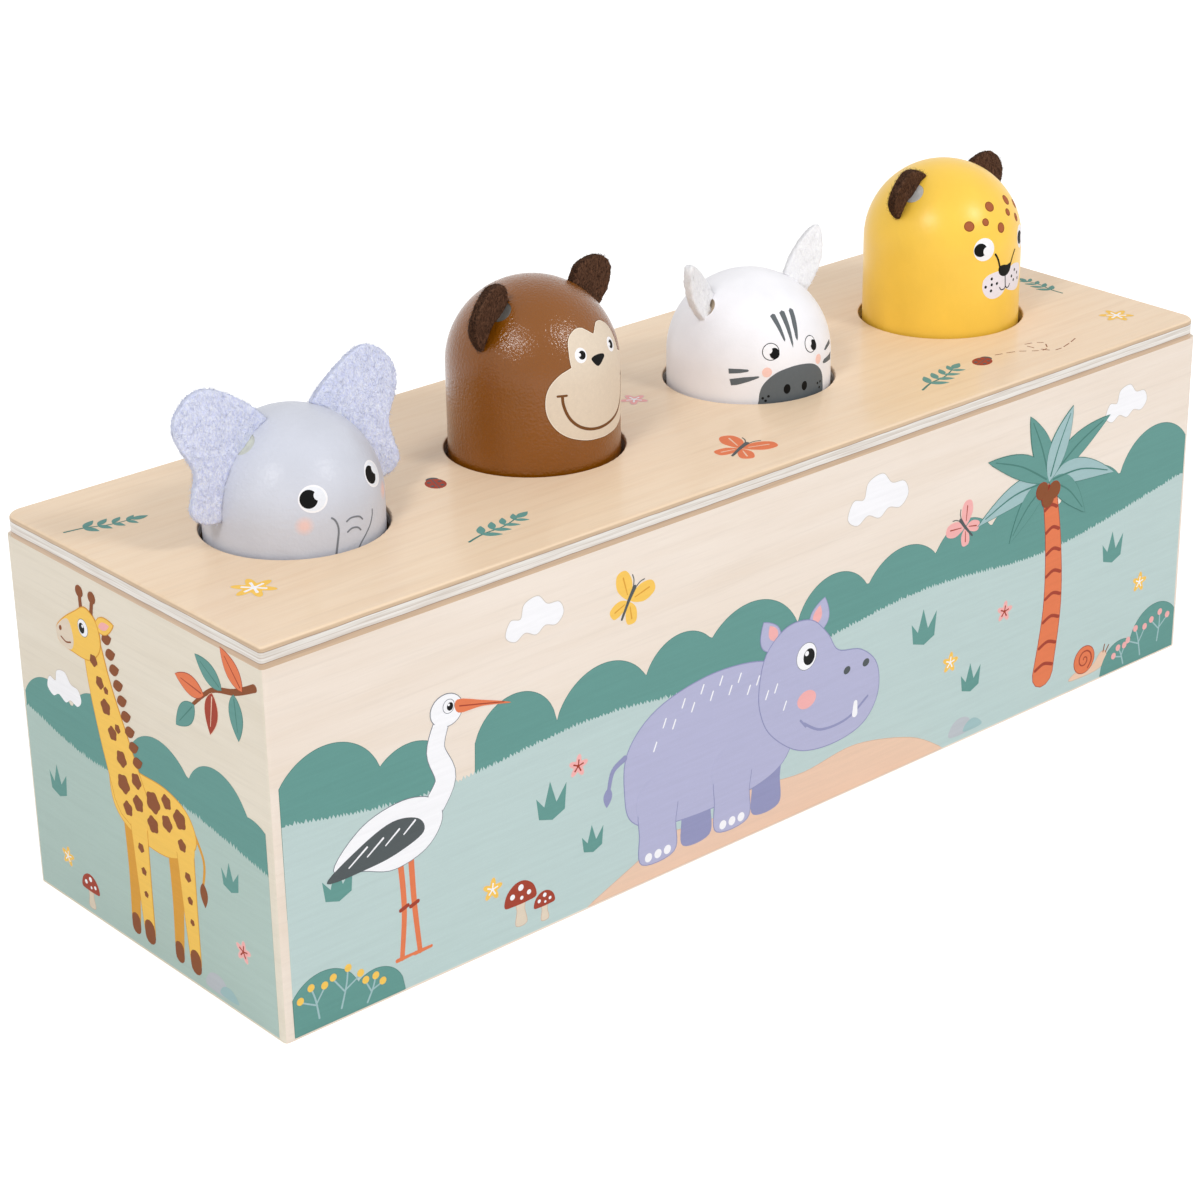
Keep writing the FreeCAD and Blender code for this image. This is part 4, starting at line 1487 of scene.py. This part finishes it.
def dress_heads():
    blush = []
    for azimuth, rise in ((-28.8, 0.4), (42.0, 1.6)):
        blush.append((head_point("elephant", azimuth, rise, 0) * MM, 0.0024, srgb(252, 196, 176)))
    paints = {
        "elephant": paint_material("elephant_paint", srgb(209, 212, 223), 0.4, 0.35, 900.0, 0.21, 0.27, blush),
        "monkey": paint_material("monkey_paint", srgb(135, 76, 0), 0.34, 0.55, 1500.0, 0.8, 0.15),
        "zebra": paint_material("zebra_paint", srgb(250, 249, 253), 0.5, 0.15, 800.0),
        "leopard": paint_material("leopard_paint", srgb(255, 208, 76), 0.4, 0.12, 600.0, 0.65, 0.33),
    }
    for animal, material in paints.items():
        set_material(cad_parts[animal + "_head"], material)


# Stage


def make_camera():
    azimuth = math.radians(camera_azimuth)
    roll = math.radians(camera_roll)
    back = heading(camera_azimuth, camera_elevation)
    level_right = Vector((math.cos(azimuth), math.sin(azimuth), 0))
    level_up = back.cross(level_right)
    right = math.cos(roll) * level_right + math.sin(roll) * level_up
    up = back.cross(right)
    camera = add_object("camera", bpy.data.cameras.new("camera"))
    camera.matrix_world = Matrix.Translation(camera_place) @ Matrix((right, up, back)).transposed().to_4x4()
    camera.data.lens = camera_lens
    camera.data.sensor_width = camera_sensor
    camera.data.clip_start = 0.01
    bpy.context.scene.camera = camera


def bright_rays(tree):
    """1 on the rays that show the white background, 0 on those that light the toy."""
    rays = tree.nodes.new("ShaderNodeLightPath")
    total = rays.outputs["Is Camera Ray"]
    for name in ("Is Glossy Ray", "Is Transmission Ray"):
        higher = tree.nodes.new("ShaderNodeMath")
        higher.operation = "MAXIMUM"
        tree.links.new(total, higher.inputs[0])
        tree.links.new(rays.outputs[name], higher.inputs[1])
        total = higher.outputs[0]
    return total


def make_floor():
    """Pale floor that reads as white to the camera but keeps the toy's soft shadow."""
    mesh = bpy.data.meshes.new("floor")
    corners = [(x * floor_reach, y * floor_reach, 0) for x, y in ((-1, -1), (1, -1), (1, 1), (-1, 1))]
    mesh.from_pydata(corners, [], [(0, 1, 2, 3)])
    floor = add_object("floor", mesh)
    shader = Shader("floor_white")
    seen = bright_rays(shader.tree)
    shader.set(Base_Color=(0.95, 0.95, 0.95, 1.0), Roughness=0.9, Specular_IOR_Level=0.1)
    glow = shader.ramp(seen, 0.0, 1.0, 0.0, floor_glow)
    shader.set(Emission_Color=(1.0, 1.0, 1.0, 1.0), Emission_Strength=glow)
    set_material(floor, shader.material)


def make_world():
    world = bpy.data.worlds.new("studio")
    world.use_nodes = True
    bpy.context.scene.world = world
    tree = world.node_tree
    background = tree.nodes["Background"]
    strength = tree.nodes.new("ShaderNodeMapRange")
    strength.inputs["To Min"].default_value = sky_strength
    strength.inputs["To Max"].default_value = 1.0
    tree.links.new(bright_rays(tree), strength.inputs["Value"])
    tree.links.new(strength.outputs["Result"], background.inputs["Strength"])
    background.inputs["Color"].default_value = (1.0, 1.0, 1.0, 1.0)


def make_softbox(name, azimuth, elevation):
    """Square lamp that looks at the toy from a direction, as the domes' highlights show."""
    lamp = bpy.data.lights.new(name, "AREA")
    lamp.shape = "SQUARE"
    lamp.size = lamp_size
    lamp.energy = lamp_power
    obj = add_object(name, lamp)
    toward = heading(azimuth, elevation)
    obj.location = lamp_target + toward * lamp_distance
    obj.rotation_euler = toward.to_track_quat("Z", "Y").to_euler()


def make_stage():
    make_camera()
    make_floor()
    make_world()
    make_softbox("left_softbox", -70.0, 42.0)
    make_softbox("right_softbox", 20.0, 40.0)
    bpy.context.scene.view_settings.view_transform = "Standard"


dress_case()
dress_heads()
print_case()
print_heads()
make_glue()
make_ears()
make_stage()
